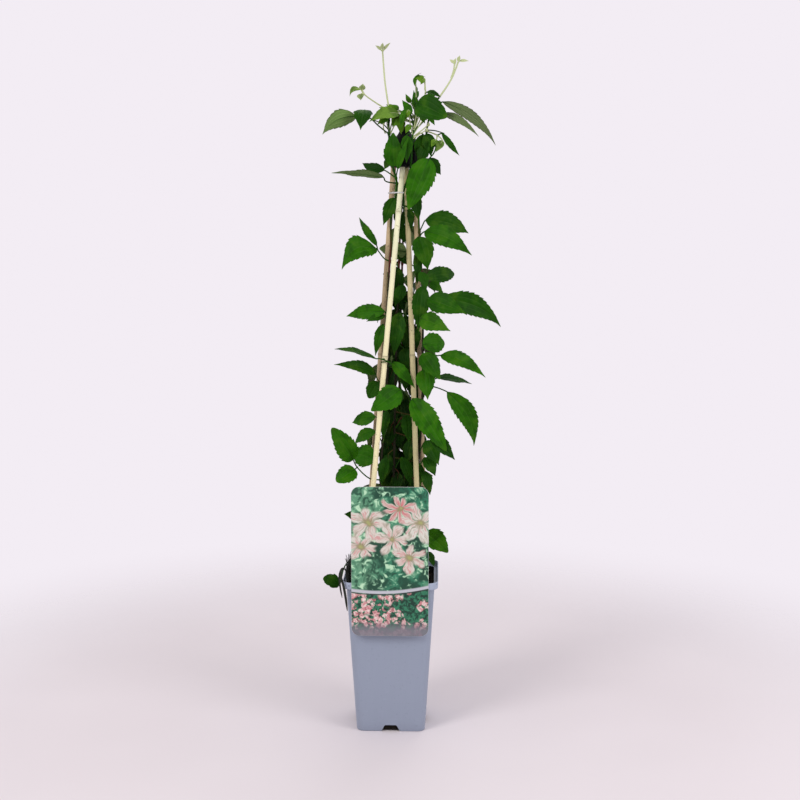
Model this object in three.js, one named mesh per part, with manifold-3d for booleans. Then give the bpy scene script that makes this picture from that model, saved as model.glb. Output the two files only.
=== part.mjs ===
// A young climbing clematis on four bamboo canes, in a tall square pot with a plant label.
// Millimetres, +Z up. The origin is the middle of the pot's flat underside, and -Y is the front.

import * as THREE from 'three';
import { mergeVertices } from 'three/addons/utils/BufferGeometryUtils.js';
import Module from 'manifold-3d';

const wasm = await Module();
wasm.setup();

// Pot
const potHeight = 182;
const potBaseWidth = 80;
const potShoulderWidth = 101.4;
const potRimWidth = 110;
const rimBandHeight = 8.2;
const potWall = 1.3;
const potFloor = 1.8;
const potCornerRadius = 9;
const drainSlotTopWidth = 14;
const drainSlotBottomWidth = 22;
const drainSlotHeight = 7.6;
const drainSlotDepth = 9;
const drainHoleRadius = 4;
const drainHoleOffset = 24;

// Soil
const soilHeight = 168;
const soilRings = 4;
const soilLumpHeight = 1.8;
const soilMoundHeight = 3;

// Canes, and what holds them together
const caneRadius = 3;
const caneKnuckleRadius = 3.5;
const caneKnuckleSpacing = 165;
const caneFootHeight = 110;
const caneTopHeight = 672;
const capBottomHeight = 652;
const capHeight = 46;
const capBottomRadius = 17;
const capTopRadius = 5;
const tieHeight = 623.5;
const tieBandHeight = 1.6;
const tieBandThickness = 1;
const tieCornerSteps = 5;

// Plant label
const labelWidth = 88;
const labelBottomHeight = 120.4;
const labelTopHeight = 293.9;
const labelThickness = 0.8;
const labelCornerRadius = 9;
const labelHookWidth = 34;
const labelHookDrop = 6;

// Leaves and stems
const stemRadius = 1.5;
const stalkRadius = 0.75;
const bladeThickness = 0.75;
const toothDepth = 0.05;
const baseRoundness = 1.25;
const stemFootHeight = 140;

// Clearance between pieces that touch
const gap = 0.3;
const holeSlack = 0.8;

// Places on the plant are given as seen from the front, on the upright plane through the
// pot's axis: across (+ to the right), height, and depth behind (+) or before (-) that plane.
const viewpoint = new THREE.Vector3(9.7, -1413, 563);
const viewTurn = THREE.MathUtils.degToRad(1.83);
const upward = new THREE.Vector3(0, 0, 1);

const seededRandom = (seed) => () => {
  seed = (seed * 16807) % 2147483647;
  return seed / 2147483647;
};

function seen([across, height, depth]) {
  const slide = 1 - depth / viewpoint.y;
  return new THREE.Vector3(
    viewpoint.x + (across - viewpoint.x) * slide,
    depth,
    viewpoint.z + (height - viewpoint.z) * slide,
  ).applyAxisAngle(upward, viewTurn);
}

// Solids

function solidOf(geometry) {
  const bare = geometry.clone();
  bare.deleteAttribute('normal');
  bare.deleteAttribute('uv');
  const merged = mergeVertices(bare, 1e-4);
  return new wasm.Manifold(new wasm.Mesh({
    numProp: 3,
    vertProperties: new Float32Array(merged.attributes.position.array),
    triVerts: new Uint32Array(merged.index.array),
  }));
}

function geometryOf(solid) {
  const mesh = solid.getMesh();
  const geometry = new THREE.BufferGeometry();
  geometry.setAttribute('position', new THREE.BufferAttribute(mesh.vertProperties, 3));
  geometry.setIndex(new THREE.BufferAttribute(mesh.triVerts, 1));
  geometry.computeVertexNormals();
  return geometry;
}

function geometryFrom(points, triangles) {
  const geometry = new THREE.BufferGeometry().setFromPoints(points);
  geometry.setIndex(triangles);
  return geometry;
}

// A closed solid through rings of points that all have the same count, listed from below.
function loft(rings) {
  const count = rings[0].length;
  const points = rings.flat();
  const triangles = [];
  for (let ring = 0; ring < rings.length - 1; ring += 1) {
    for (let i = 0; i < count; i += 1) {
      const low = ring * count + i;
      const lowNext = ring * count + ((i + 1) % count);
      triangles.push(low, lowNext, lowNext + count, low, lowNext + count, low + count);
    }
  }
  const bottomMiddle = points.push(middleOf(rings[0])) - 1;
  const topMiddle = points.push(middleOf(rings.at(-1))) - 1;
  const top = (rings.length - 1) * count;
  for (let i = 0; i < count; i += 1) {
    const next = (i + 1) % count;
    triangles.push(bottomMiddle, next, i, topMiddle, top + i, top + next);
  }
  return geometryFrom(points, triangles);
}

function middleOf(ring) {
  const middle = new THREE.Vector3();
  ring.forEach((point) => middle.add(point));
  return middle.divideScalar(ring.length);
}

function roundedSquare(width, cornerRadius, height, cornerSteps = 3) {
  const ring = [];
  const inner = width / 2 - cornerRadius;
  for (let corner = 0; corner < 4; corner += 1) {
    for (let step = 0; step <= cornerSteps; step += 1) {
      const angle = (corner + step / cornerSteps) * Math.PI / 2;
      const side = [[1, 1], [-1, 1], [-1, -1], [1, -1]][corner];
      ring.push(new THREE.Vector3(
        side[0] * inner + cornerRadius * Math.cos(angle),
        side[1] * inner + cornerRadius * Math.sin(angle),
        height,
      ));
    }
  }
  return ring;
}

function polygon(radius, sides) {
  const shape = new THREE.Shape();
  for (let i = 0; i < sides; i += 1) {
    const angle = (i / sides) * Math.PI * 2;
    const move = i === 0 ? 'moveTo' : 'lineTo';
    shape[move](radius * Math.cos(angle), radius * Math.sin(angle));
  }
  shape.closePath();
  return shape;
}

function rod(points, radius, sides, steps) {
  const path = points.length > 2
    ? new THREE.CatmullRomCurve3(points, false, 'centripetal')
    : new THREE.LineCurve3(points[0], points[1]);
  return new THREE.ExtrudeGeometry(polygon(radius, sides), {
    steps,
    extrudePath: path,
    bevelEnabled: false,
  });
}

// Turns a geometry made along +Z so that it runs from one point towards another.
function standAlong(geometry, from, towards) {
  const direction = towards.clone().sub(from).normalize();
  geometry.applyQuaternion(new THREE.Quaternion().setFromUnitVectors(upward, direction));
  return geometry.translate(from.x, from.y, from.z);
}

// Pot

function potWidthAt(height) {
  return potBaseWidth + (potShoulderWidth - potBaseWidth) * (height / (potHeight - rimBandHeight));
}

function drainSlot() {
  const shape = new THREE.Shape();
  shape.moveTo(-drainSlotBottomWidth / 2, -1);
  shape.lineTo(drainSlotBottomWidth / 2, -1);
  shape.lineTo(drainSlotTopWidth / 2, drainSlotHeight);
  shape.lineTo(-drainSlotTopWidth / 2, drainSlotHeight);
  shape.closePath();
  const slot = new THREE.ExtrudeGeometry(shape, { depth: drainSlotDepth * 2, bevelEnabled: false });
  slot.rotateX(Math.PI / 2);
  return slot.translate(0, -potBaseWidth / 2 + drainSlotDepth, 0);
}

function potGeometry() {
  const shoulder = potHeight - rimBandHeight;
  const outside = loft([
    roundedSquare(potBaseWidth, potCornerRadius, 0),
    roundedSquare(potShoulderWidth, potCornerRadius, shoulder),
    roundedSquare(potRimWidth - 0.8, potCornerRadius + 3, shoulder),
    roundedSquare(potRimWidth, potCornerRadius + 3, potHeight),
  ]);
  const ledge = shoulder + potWall;
  const inside = loft([
    roundedSquare(potWidthAt(potFloor) - potWall * 2, potCornerRadius - potWall, potFloor),
    roundedSquare(potWidthAt(ledge) - potWall * 2, potCornerRadius - potWall, ledge),
    roundedSquare(potRimWidth - potWall * 2 - 0.8, potCornerRadius + 3 - potWall, ledge),
    roundedSquare(potRimWidth - potWall * 2, potCornerRadius + 3 - potWall, potHeight + 1),
  ]);
  let pot = solidOf(outside).subtract(solidOf(inside));
  for (let side = 0; side < 4; side += 1) {
    pot = pot.subtract(solidOf(drainSlot().rotateZ(side * Math.PI / 2)));
    const angle = (side + 0.5) * Math.PI / 2;
    const hole = new THREE.CylinderGeometry(drainHoleRadius, drainHoleRadius, potFloor * 3, 12);
    hole.rotateX(Math.PI / 2);
    hole.translate(drainHoleOffset * Math.cos(angle), drainHoleOffset * Math.sin(angle), 0);
    pot = pot.subtract(solidOf(hole));
  }
  return geometryOf(pot);
}

// Canes

const canes = [
  { name: 'cane_front_left', low: [-21.7, 285, -25], high: [11.5, 640, -9.5] },
  { name: 'cane_front_right', low: [29, 290, -18], high: [17.2, 640, 6] },
  { name: 'cane_rear_left', low: [-23.5, 285, 20], high: [1.5, 640, 2] },
  { name: 'cane_rear_right', low: [36.5, 290, 14], high: [27.4, 640, 0.5] },
];

function pointOnCane(cane, height) {
  const low = seen(cane.low);
  const high = seen(cane.high);
  return low.lerp(high, (height - low.z) / (high.z - low.z));
}

function caneGeometry(cane) {
  const foot = pointOnCane(cane, caneFootHeight);
  const top = pointOnCane(cane, caneTopHeight);
  const length = foot.distanceTo(top);
  const profile = [[0, 0], [caneRadius, 0]];
  for (let knuckle = caneKnuckleSpacing; knuckle < length - 30; knuckle += caneKnuckleSpacing) {
    profile.push([caneRadius, knuckle - 3], [caneKnuckleRadius, knuckle], [caneRadius, knuckle + 2]);
  }
  profile.push([caneRadius, length], [0, length]);
  const cylinder = new THREE.LatheGeometry(profile.map(([r, h]) => new THREE.Vector2(r, h)), 7);
  return standAlong(cylinder.rotateX(Math.PI / 2), foot, top);
}

function boreForCane(cane, from, to) {
  const start = pointOnCane(cane, from);
  const end = pointOnCane(cane, to);
  const length = start.distanceTo(end);
  const bore = new THREE.CylinderGeometry(caneRadius + gap * 1.4, caneRadius + gap * 1.4, length, 8);
  bore.rotateX(Math.PI / 2).translate(0, 0, length / 2);
  return solidOf(standAlong(bore, start, end));
}

const capMiddle = middleOf(canes.map((cane) => pointOnCane(cane, capBottomHeight + 10)));

function capGeometry() {
  const profile = [
    [0, 0],
    [capBottomRadius - 1.5, 0],
    [capBottomRadius, 1.5],
    [capBottomRadius, capHeight * 0.48],
    [capBottomRadius * 0.78, capHeight * 0.66],
    [capTopRadius * 1.3, capHeight * 0.86],
    [capTopRadius, capHeight * 0.96],
    [capTopRadius - 2, capHeight],
    [0, capHeight],
  ];
  const body = new THREE.LatheGeometry(profile.map(([r, h]) => new THREE.Vector2(r, h)), 14);
  body.rotateX(Math.PI / 2).translate(capMiddle.x, capMiddle.y, capBottomHeight);
  let cap = solidOf(body);
  canes.forEach((cane) => {
    cap = cap.subtract(boreForCane(cane, capBottomHeight - 5, caneTopHeight + gap));
  });
  return geometryOf(cap);
}

// A flat band round the two left canes.
function tieGeometry() {
  const front = pointOnCane(canes[0], tieHeight);
  const rear = pointOnCane(canes[2], tieHeight);
  const reach = front.distanceTo(rear);
  const loop = (radius) => {
    const points = [];
    for (let i = 0; i <= tieCornerSteps; i += 1) {
      const angle = Math.PI / 2 + (i / tieCornerSteps) * Math.PI;
      points.push(new THREE.Vector2(radius * Math.cos(angle), radius * Math.sin(angle)));
    }
    for (let i = 0; i <= tieCornerSteps; i += 1) {
      const angle = -Math.PI / 2 + (i / tieCornerSteps) * Math.PI;
      points.push(new THREE.Vector2(reach + radius * Math.cos(angle), radius * Math.sin(angle)));
    }
    return points;
  };
  const inner = caneRadius + gap * 1.8;
  const band = new THREE.Shape(loop(inner + tieBandThickness));
  band.holes.push(new THREE.Path(loop(inner)));
  const geometry = new THREE.ExtrudeGeometry(band, { depth: tieBandHeight, bevelEnabled: false });
  geometry.rotateZ(Math.atan2(rear.y - front.y, rear.x - front.x));
  return geometry.translate(front.x, front.y, tieHeight - tieBandHeight / 2);
}

// Plant label: a card before the rim, with a strip behind it that hooks over the rim.

function labelGeometry() {
  const back = -potRimWidth / 2 - gap;
  const front = back - labelThickness;
  const card = new THREE.Shape();
  const half = labelWidth / 2;
  const r = labelCornerRadius;
  card.moveTo(-half + r, labelBottomHeight);
  card.lineTo(half - r, labelBottomHeight);
  card.absarc(half - r, labelBottomHeight + r, r, -Math.PI / 2, 0);
  card.absarc(half - r, labelTopHeight - r, r, 0, Math.PI / 2);
  card.absarc(-half + r, labelTopHeight - r, r, Math.PI / 2, Math.PI);
  card.absarc(-half + r, labelBottomHeight + r, r, Math.PI, Math.PI * 1.5);
  const sheet = new THREE.ExtrudeGeometry(card, {
    depth: labelThickness,
    curveSegments: 5,
    bevelEnabled: false,
  });
  sheet.rotateX(Math.PI / 2).translate(0, back, 0);
  const inner = -potRimWidth / 2 + potWall + gap * 2;
  const strip = new THREE.Shape();
  strip.moveTo(front + 0.1, potHeight + gap);
  strip.lineTo(inner, potHeight + gap);
  strip.lineTo(inner, potHeight - labelHookDrop);
  strip.lineTo(inner + labelThickness, potHeight - labelHookDrop);
  strip.lineTo(inner + labelThickness, potHeight + gap + labelThickness);
  strip.lineTo(front + 0.1, potHeight + gap + labelThickness);
  strip.closePath();
  const hook = new THREE.ExtrudeGeometry(strip, { depth: labelHookWidth, bevelEnabled: false });
  hook.rotateX(Math.PI / 2).rotateZ(Math.PI / 2).translate(-labelHookWidth / 2, 0, 0);
  return geometryOf(solidOf(sheet).add(solidOf(hook)));
}

// Leaf blades

// Half width along the blade, from its base to its drawn-out tip, as a part of the widest.
const bladeOutline = new THREE.CatmullRomCurve3([
  [0, 0.1], [0.08, 0.58], [0.22, 0.92], [0.36, 1], [0.52, 0.88],
  [0.68, 0.63], [0.82, 0.34], [0.92, 0.14], [1, 0.02],
].map(([t, w]) => new THREE.Vector3(t, w, 0)));

function outlineAt(t, roundness) {
  let low = 0;
  let high = 1;
  for (let i = 0; i < 24; i += 1) {
    const middle = (low + high) / 2;
    if (bladeOutline.getPoint(middle).x < t) low = middle;
    else high = middle;
  }
  const drawnOut = bladeOutline.getPoint(low).y;
  const oval = Math.sqrt(Math.max(0, 1 - Math.abs(2 * t ** 0.9 - 1) ** 2.2));
  return drawnOut + (oval - drawnOut) * roundness;
}

function segmentsFor(length) {
  if (length > 38) return 8;
  if (length > 18) return 6;
  return 4;
}

// A leaf in one piece: a four-sided stalk through the given points, which opens into the blade.
// turn: 0 shows the upper face to the front, 180 the underside. arch bows the blade out of
// its plane, bend bows it within its plane, and fold lifts its two edges.
function leafGeometry(
  stalkPoints, base, tip, width,
  { turn = 25, arch = 0.09, bend = 0, fold = 0.16, roundness = 0, segments } = {},
) {
  const chord = tip.clone().sub(base);
  const length = chord.length();
  const along = chord.clone().normalize();
  const sight = viewpoint.clone().applyAxisAngle(upward, viewTurn).sub(base).normalize();
  const facing = sight.addScaledVector(along, -sight.dot(along)).normalize();
  const side = along.clone().cross(facing);
  if (side.z < 0) side.negate();
  const angle = THREE.MathUtils.degToRad(turn);
  const normal = facing.multiplyScalar(Math.cos(angle)).addScaledVector(side, Math.sin(angle));
  const across = along.clone().cross(normal).normalize();
  const bowSign = across.z < 0 ? -1 : 1;
  const pointAt = (t, reach, lift) => {
    const bow = 4 * t * (1 - t);
    return base.clone()
      .addScaledVector(chord, t)
      .addScaledVector(normal, arch * length * bow + lift)
      .addScaledVector(across, bowSign * bend * length * bow + reach);
  };
  const half = bladeThickness / 2;
  const rings = stalkRings([...stalkPoints, base], normal);
  const count = segments ?? segmentsFor(length);
  for (let i = 1; i < count; i += 1) {
    const tooth = i % 2 ? toothDepth : -toothDepth;
    const t = (i / count) ** baseRoundness;
    const reach = (width / 2) * outlineAt(t, roundness) * (1 + tooth);
    const edge = t + tooth / count;
    const raised = fold * reach;
    rings.push([
      pointAt(t, 0, half), pointAt(edge, reach, raised + half), pointAt(edge, reach, raised - half),
      pointAt(t, 0, -half), pointAt(edge, -reach, raised - half), pointAt(edge, -reach, raised + half),
    ]);
  }
  const points = rings.flat();
  points.push(pointAt(1, 0, half), pointAt(1, 0, -half));
  return geometryFrom(points, leafTriangles(rings, points.length));
}

// Four points round the stalk at each step: on the blade's upper side, right, under and left.
function stalkRings(points, normal) {
  const curve = new THREE.CatmullRomCurve3(points, false, 'centripetal');
  const steps = points.length > 2 ? points.length : 1;
  const rings = [];
  let upper = normal.clone();
  for (let i = steps; i >= 0; i -= 1) {
    const along = curve.getTangent(i / steps);
    upper = upper.clone().addScaledVector(along, -upper.dot(along)).normalize();
    const right = along.clone().cross(upper);
    const middle = curve.getPoint(i / steps);
    rings.unshift([[upper, 1], [right, 1], [upper, -1], [right, -1]]
      .map(([direction, sign]) => middle.clone().addScaledVector(direction, sign * stalkRadius)));
  }
  return rings;
}

function leafTriangles(rings, pointCount) {
  const triangles = [0, 3, 1, 1, 3, 2];
  let start = 0;
  rings.slice(1).forEach((ring, i) => {
    const next = start + rings[i].length;
    const sides = rings[i].length;
    if (ring.length === sides) triangles.push(...bandTriangles(start, next, sides));
    else triangles.push(...openingTriangles(start, next));
    start = next;
  });
  const [rib, right, rightUnder, ribUnder, leftUnder, left] = [0, 1, 2, 3, 4, 5].map((i) => start + i);
  const [tip, tipUnder] = [pointCount - 2, pointCount - 1];
  triangles.push(rib, right, tip, rib, tip, left);
  triangles.push(ribUnder, tipUnder, rightUnder, ribUnder, leftUnder, tipUnder);
  triangles.push(right, rightUnder, tipUnder, right, tipUnder, tip);
  triangles.push(left, tipUnder, leftUnder, left, tip, tipUnder);
  return triangles;
}

// The two faces of a blade are split along the same diagonals, so they never cross.
function bandTriangles(start, next, sides) {
  const triangles = [];
  for (let i = 0; i < sides; i += 1) {
    const j = (i + 1) % sides;
    const corners = [start + i, start + j, next + i, next + j];
    const [a, b, c, d] = corners;
    if (sides === 6 && (i === 2 || i === 5)) triangles.push(a, b, c, b, d, c);
    else triangles.push(a, b, d, a, d, c);
  }
  return triangles;
}

function openingTriangles(start, next) {
  const [top, right, under, left] = [0, 1, 2, 3].map((i) => start + i);
  const [rib, rightEdge, rightUnder, ribUnder, leftUnder, leftEdge] = [0, 1, 2, 3, 4, 5]
    .map((i) => next + i);
  return [
    top, rightEdge, rib, top, right, rightEdge, right, rightUnder, rightEdge,
    right, under, rightUnder, under, ribUnder, rightUnder, under, leftUnder, ribUnder,
    under, left, leftUnder, left, leftEdge, leftUnder, left, top, leftEdge, top, rib, leftEdge,
  ];
}

// The rear stem's leaves are in threes. Each row gives a height on the stem and the tip of
// the middle leaflet.
const rearSprays = [
  [226, [38, 196, 60]],
  [240, [-26, 208, 58]],
  [290, [-34, 262, 68]],
  [310, [44, 282, 66]],
  [362, [-26, 330, 72]],
  [384, [46, 352, 64]],
  [436, [-24, 404, 70]],
  [462, [48, 432, 62]],
  [514, [-7, 480, 66]],
  [544, [50, 512, 58]],
  [600, [18, 560, 58]],
  [640, [22, 618, 56]],
  [690, [20, 668, 54]],
];
const sprayWidth = 24;
const sprayBackTurn = 118;

// Leafy stems. Each leaf has the two ends of its blade, its width and its stalk. A stalk
// starts at a height on the stem, or at a point on a stalk that is already there.

const leaf = (from, to, width, stalk, options = {}) => ({ from, to, width, stalk, options });

const vines = [
  {
    name: 'vine_left',
    stem: [
      [-9, stemFootHeight, 6], [-9, 174, 6], [-12, 230, 0], [-13, 288, -4], [-10, 345, 0],
      [-6, 400, -4], [-4, 428, -6], [-4, 480, 0], [-3, 530, 0], [-1, 560, -3], [0, 600, -6],
      [-2.5, 625, -9], [-5, 648, -13], [-8, 672, -13], [-6, 700, -12], [-3, 718, -12],
    ],
    leaves: [
      leaf([-62, 165, -8], [-81.5, 173, -10], 17, [205, [-30, 203, -2], [-54, 190, -8], [-60, 172, -8]],
        { roundness: 0.8 }),
      leaf([-45, 315, -16], [-70, 353, -44], 25, [292, [-26, 293, -13], [-41, 307, -15]],
        { turn: 8, roundness: 0.6 }),
      leaf([-43, 304, -17], [-65, 289, -40], 21, [[-40, 307, -15]],
        { turn: 10, arch: 0.05, roundness: 0.8 }),
      leaf([-19, 316, -9], [-44, 323, 12], 27, [300], { turn: 5, roundness: 0.5 }),
      leaf([-19, 349, -6], [-43, 334, 16], 15, [335], { bend: 0.05 }),
      leaf([-6, 318, -8], [-12, 285, -11], 14, [305]),
      leaf([-5, 373, -7], [-10, 341, -10], 13, [358]),
      leaf([-19, 366, -6], [-46, 359, 16], 17, [358], { turn: 18 }),
      leaf([-15, 407, -9], [-27, 388, -4], 18, [392], { turn: 15, roundness: 0.5 }),
      leaf([-19, 417, -12], [-67, 427, -42], 15, [404, [-13, 406, -8], [-17, 411, -11]],
        { bend: 0.03 }),
      leaf([-18, 434, -23], [-66, 445, -48], 16, [426, [0, 427, -17], [-5, 431, -25], [-14, 434, -25]],
        { turn: 66, bend: 0.09, arch: 0.02, fold: 0.08 }),
      leaf([-10, 474, -6], [-19, 437, -9], 12, [455], { turn: 10 }),
      leaf([-8, 484, -6], [-29, 477, -9], 11, [472], { turn: 30 }),
      leaf([-8, 488.5, -9], [-52, 483, 18], 18, [478], { turn: 14, bend: 0.02 }),
      leaf([2, 508, -8], [-3, 495, -6], 9, [500]),
      leaf([-18, 561, -8], [-57, 537, -40], 28, [546, [-8, 549, -3]], { turn: 8, bend: 0.2 }),
      leaf([-17, 564, -8], [-37, 596, 12], 10, [[-16, 559, -7]], { turn: 28, bend: -0.07 }),
      leaf([3, 618, -4], [-9.5, 587, -4], 15, [604], { turn: 6 }),
      leaf([-9, 641, -15], [-68, 646, -40], 18, [634, [-7, 637, -13]],
        { turn: 116, fold: 0.1, arch: 0.03 }),
      leaf([-8, 649, -8], [-33, 657, 6], 13, [640], { turn: 20, bend: -0.1 }),
      leaf([2, 653, -21], [2, 691, -22], 21, [648], { turn: 4, roundness: 0.3 }),
      leaf([7, 650, -27], [19, 686, -31], 9, [640], { turn: 35, bend: -0.05 }),
      leaf([-40, 709, -16], [-78, 689, -40], 20, [688, [-14, 698, -14], [-26, 708, -15]],
        { turn: 160, bend: 0.11 }),
      leaf([-30, 716, -17], [-35, 694, -36], 21, [[-26, 708, -15]], { turn: 12, arch: 0.15 }),
      leaf([9, 712, -18], [-25, 703, -32], 16, [706], { turn: 32, bend: 0.08 }),
      leaf([8, 708, -13], [11, 689, -16], 12, [711]),
      leaf([-4, 708, -20], [-12, 700, -22], 7, [703]),
      leaf([-32.5, 738, -16], [-32, 745, -16], 7, [714, [-19, 725, -15], [-31, 734, -16]]),
      leaf([-34.5, 734, -17], [-36, 727, -19], 8, [[-31, 734, -16]]),
      leaf([-37, 738, -15], [-47, 731, -14], 4.5, [[-31, 734, -16]], { bend: 0.25 }),
      leaf([-42, 247, -8], [-56, 250.5, -12], 11, [232, [-28, 240, -2]]),
    ],
  },
  {
    name: 'vine_middle',
    stem: [
      [1, stemFootHeight, -3], [1, 174, -3], [2, 240, -2], [3, 325, 0], [5, 430, 4], [8, 520, 9],
      [9, 558, 11], [11, 600, 6], [14, 625, -3], [19, 642, -14], [22, 655, -21], [23, 672, -22],
      [24, 688, -21], [27, 704, -17], [30, 720, -12],
    ],
    leaves: [
      leaf([12, 318, -4], [22, 284, -8], 14, [304]),
      leaf([-3, 340, 8], [-8, 300, 14], 20, [330], { turn: -10 }),
      leaf([12, 366, 6], [8, 328, 10], 19, [352], { turn: 14 }),
      leaf([-2, 402, 9], [-6, 364, 14], 18, [388], { turn: -14 }),
      leaf([14, 436, 8], [16, 396, 13], 19, [424], { turn: 10 }),
      leaf([17, 484, 10], [19, 440, 14], 18, [470], { turn: -8 }),
      leaf([0, 528, 14], [-2, 492, 20], 15, [516], { turn: 12 }),
      leaf([18, 368, -6], [20, 336, -9], 17, [352], { turn: 10 }),
      leaf([10, 398, -24], [-24, 373, -42], 27, [380, [13, 386, -12]],
        { turn: 0, fold: 0.08, roundness: 0.3 }),
      leaf([1, 430, -8], [27, 400, -16], 14, [420, [2, 428, -3]], { turn: 12 }),
      leaf([9, 487, -4], [3, 438, -8], 20, [474], { turn: 8 }),
      leaf([14, 519, 1], [4, 495, -1], 14, [508], { turn: 10 }),
      leaf([17, 557, 5], [-14, 561, 14], 20, [545, [15, 551, 8]],
        { turn: 178, arch: 0.03, roundness: 0.4 }),
      leaf([36, 689, -13], [34, 654, -13], 18, [678, [31, 690, -18]], { turn: 6 }),
      leaf([15, 717, -22], [11, 693, -27], 7, [700, [18, 712, -16]]),
      leaf([22, 711, -20], [12, 727, -20], 10, [694], { turn: 20 }),
      leaf([26, 716, -8], [25, 738, -5], 8, [704]),
      leaf([29, 724, -18], [63, 708, -38], 26, [702, [27, 714, -19]], { turn: 8 }),
      leaf([37, 748, -14], [27, 751, -18], 9, [713, [38, 733, -15]], { arch: 0.2 }),
      leaf([29, 740, -16], [34, 757, -16], 3, [[28, 728, -17]], { bend: 0.32 }),
      leaf([40, 736, -14], [56, 730, -16], 9, [[38, 734, -15]], { turn: 50 }),
      leaf([42, 709, -16], [49, 699, -16], 6, [690, [35, 702, -17]]),
    ],
  },
  {
    name: 'vine_right',
    stem: [
      [14, stemFootHeight, 2], [14, 174, 2], [22, 240, 0], [30, 300, 2], [34, 350, 2], [36, 400, 0],
      [36, 440, -2], [36, 500, -6], [33, 560, -9], [31, 600, -9], [33, 640, -8], [38, 668, -6],
      [41, 700, -8], [48, 722, -10], [54, 730, -10],
    ],
    leaves: [
      leaf([39.5, 228, -9], [66.5, 204, -36], 26, [222], { turn: 15, roundness: 0.4 }),
      leaf([42, 205, -8], [50, 187, -10], 10, [204]),
      leaf([37, 302, -10], [45, 273, -14], 14, [290]),
      leaf([39, 318, -12], [51, 296, -16], 17, [304]),
      leaf([40, 338, -14], [55, 309, -18], 21, [324], { turn: 15 }),
      leaf([24, 387, -23], [75, 318, -48], 25, [378, [32, 386, -14]], { turn: 6, bend: -0.05 }),
      leaf([37, 421, -21], [42, 386, -34], 22, [408], { turn: 8 }),
      leaf([65, 395, -16], [96, 332, 12], 23, [402, [50, 401, -12]], { turn: 8, bend: 0.1 }),
      leaf([54, 411.5, -14], [93, 404.5, 24], 15, [407, [46, 409, -9]],
        { turn: 58, bend: 0, arch: 0.04 }),
      leaf([57, 438, -16], [109, 412, -44], 18, [430, [48, 436, -12]], { turn: 15, bend: 0.07 }),
      leaf([36, 440, -20], [56, 410, -38], 22, [428], { turn: 8, roundness: 0.3 }),
      leaf([36, 450, -15], [61, 453, 8], 24, [445], { turn: 12, roundness: 0.5 }),
      leaf([33, 481, -27], [68, 466, -50], 22, [476, [33, 481, -18]], { turn: 10 }),
      leaf([42, 503, -23], [86, 486, -46], 25, [490, [38, 498, -16]], { turn: 12 }),
      leaf([55, 502, -15], [126, 471, 14], 24, [496, [46, 500, -12]], { turn: 10, bend: 0.105 }),
      leaf([36, 518, -15], [31, 465, -17], 20, [506], { turn: 6 }),
      leaf([44, 522, -10], [59, 510, -13], 12, [513]),
      leaf([40, 528, -11], [72, 532, 24], 19, [520], { turn: 12, roundness: 0.5 }),
      leaf([33, 534, -22], [40, 513, -26], 13, [528]),
      leaf([28, 556, -13], [29, 518, -16], 11, [546]),
      leaf([29, 574, -15], [40, 536, -19], 22, [565], { turn: 6, bend: 0.04 }),
      leaf([38, 580, -20], [92, 553, -48], 24, [572, [34, 577, -15]], { turn: 12, bend: 0.06 }),
      leaf([39, 593, -14], [88, 578, 10], 25, [579, [35, 586, -11]], { turn: 14, bend: 0.055 }),
      leaf([25, 624, -14], [31, 592, -14], 14, [610], { turn: 8 }),
      leaf([42, 662, -14], [56, 644, -4], 14, [648], { turn: 14 }),
      leaf([43, 662, -26], [19, 605, -32], 30, [686, [50, 678, -18], [48, 668, -24]],
        { turn: 4, arch: 0.05, roundness: 0.25 }),
      leaf([58, 682, -16], [50, 669, -20], 9, [692, [52, 688, -11]], { turn: 10 }),
      leaf([51, 683, -18], [45, 675, -26], 8, [[52, 688, -11]]),
      leaf([57, 690, -12], [77, 665.5, 6], 7.5, [[52, 688, -11]], { turn: 20, bend: -0.04 }),
      leaf([57, 712, -17], [99, 686, -44], 10, [707, [50, 712, -13]], { turn: 20, bend: 0.035 }),
      leaf([58, 725, -12], [118, 677, 14], 14, [718], { turn: 18, bend: 0.085 }),
    ],
  },
  {
    name: 'vine_rear',
    stem: [
      [6, stemFootHeight, 12], [6, 174, 12], [6, 188, 13], [7, 230, 26], [8, 300, 32], [9, 400, 28],
      [11, 500, 23], [14, 600, 19], [15, 645, 20.5], [15, 672, 21.5], [14, 700, 18], [12, 714, 14],
    ],
    leaves: [],
    sprays: rearSprays,
  },
];

function leavesOfSpray(stem, [height, tip], random) {
  const root = pointOnStem(stem, height);
  const end = seen(tip);
  const joint = root.clone().lerp(end, 0.42);
  joint.z += 9;
  const reach = end.clone().sub(joint);
  const options = { turn: sprayBackTurn + 24 * (random() - 0.5), arch: 0.1, segments: 5 };
  const blades = [{ from: joint.clone().lerp(end, 0.18), to: end, width: sprayWidth + 5, options }];
  [-1, 1].forEach((side) => {
    const swing = side * (0.95 + 0.35 * random());
    const spread = reach.clone().applyAxisAngle(upward, swing).multiplyScalar(0.74);
    spread.z -= 6 + 8 * random();
    const from = joint.clone().addScaledVector(spread, 0.12);
    const width = sprayWidth * (0.85 + 0.3 * random());
    blades.push({ from, to: joint.clone().add(spread), width, options });
  });
  return { root, joint, blades };
}

function stemCurve(vine) {
  return new THREE.CatmullRomCurve3(vine.stem.map(seen), false, 'centripetal');
}

function pointOnStem(curve, height) {
  let low = 0;
  let high = 1;
  for (let i = 0; i < 20; i += 1) {
    const middle = (low + high) / 2;
    if (curve.getPoint(middle).z < height) low = middle;
    else high = middle;
  }
  return curve.getPoint(low);
}

// The joined solid without the loose scraps that joining can leave.
function largestOf(solid) {
  return solid.decompose().reduce((most, next) => (next.volume() > most.volume() ? next : most));
}

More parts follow.
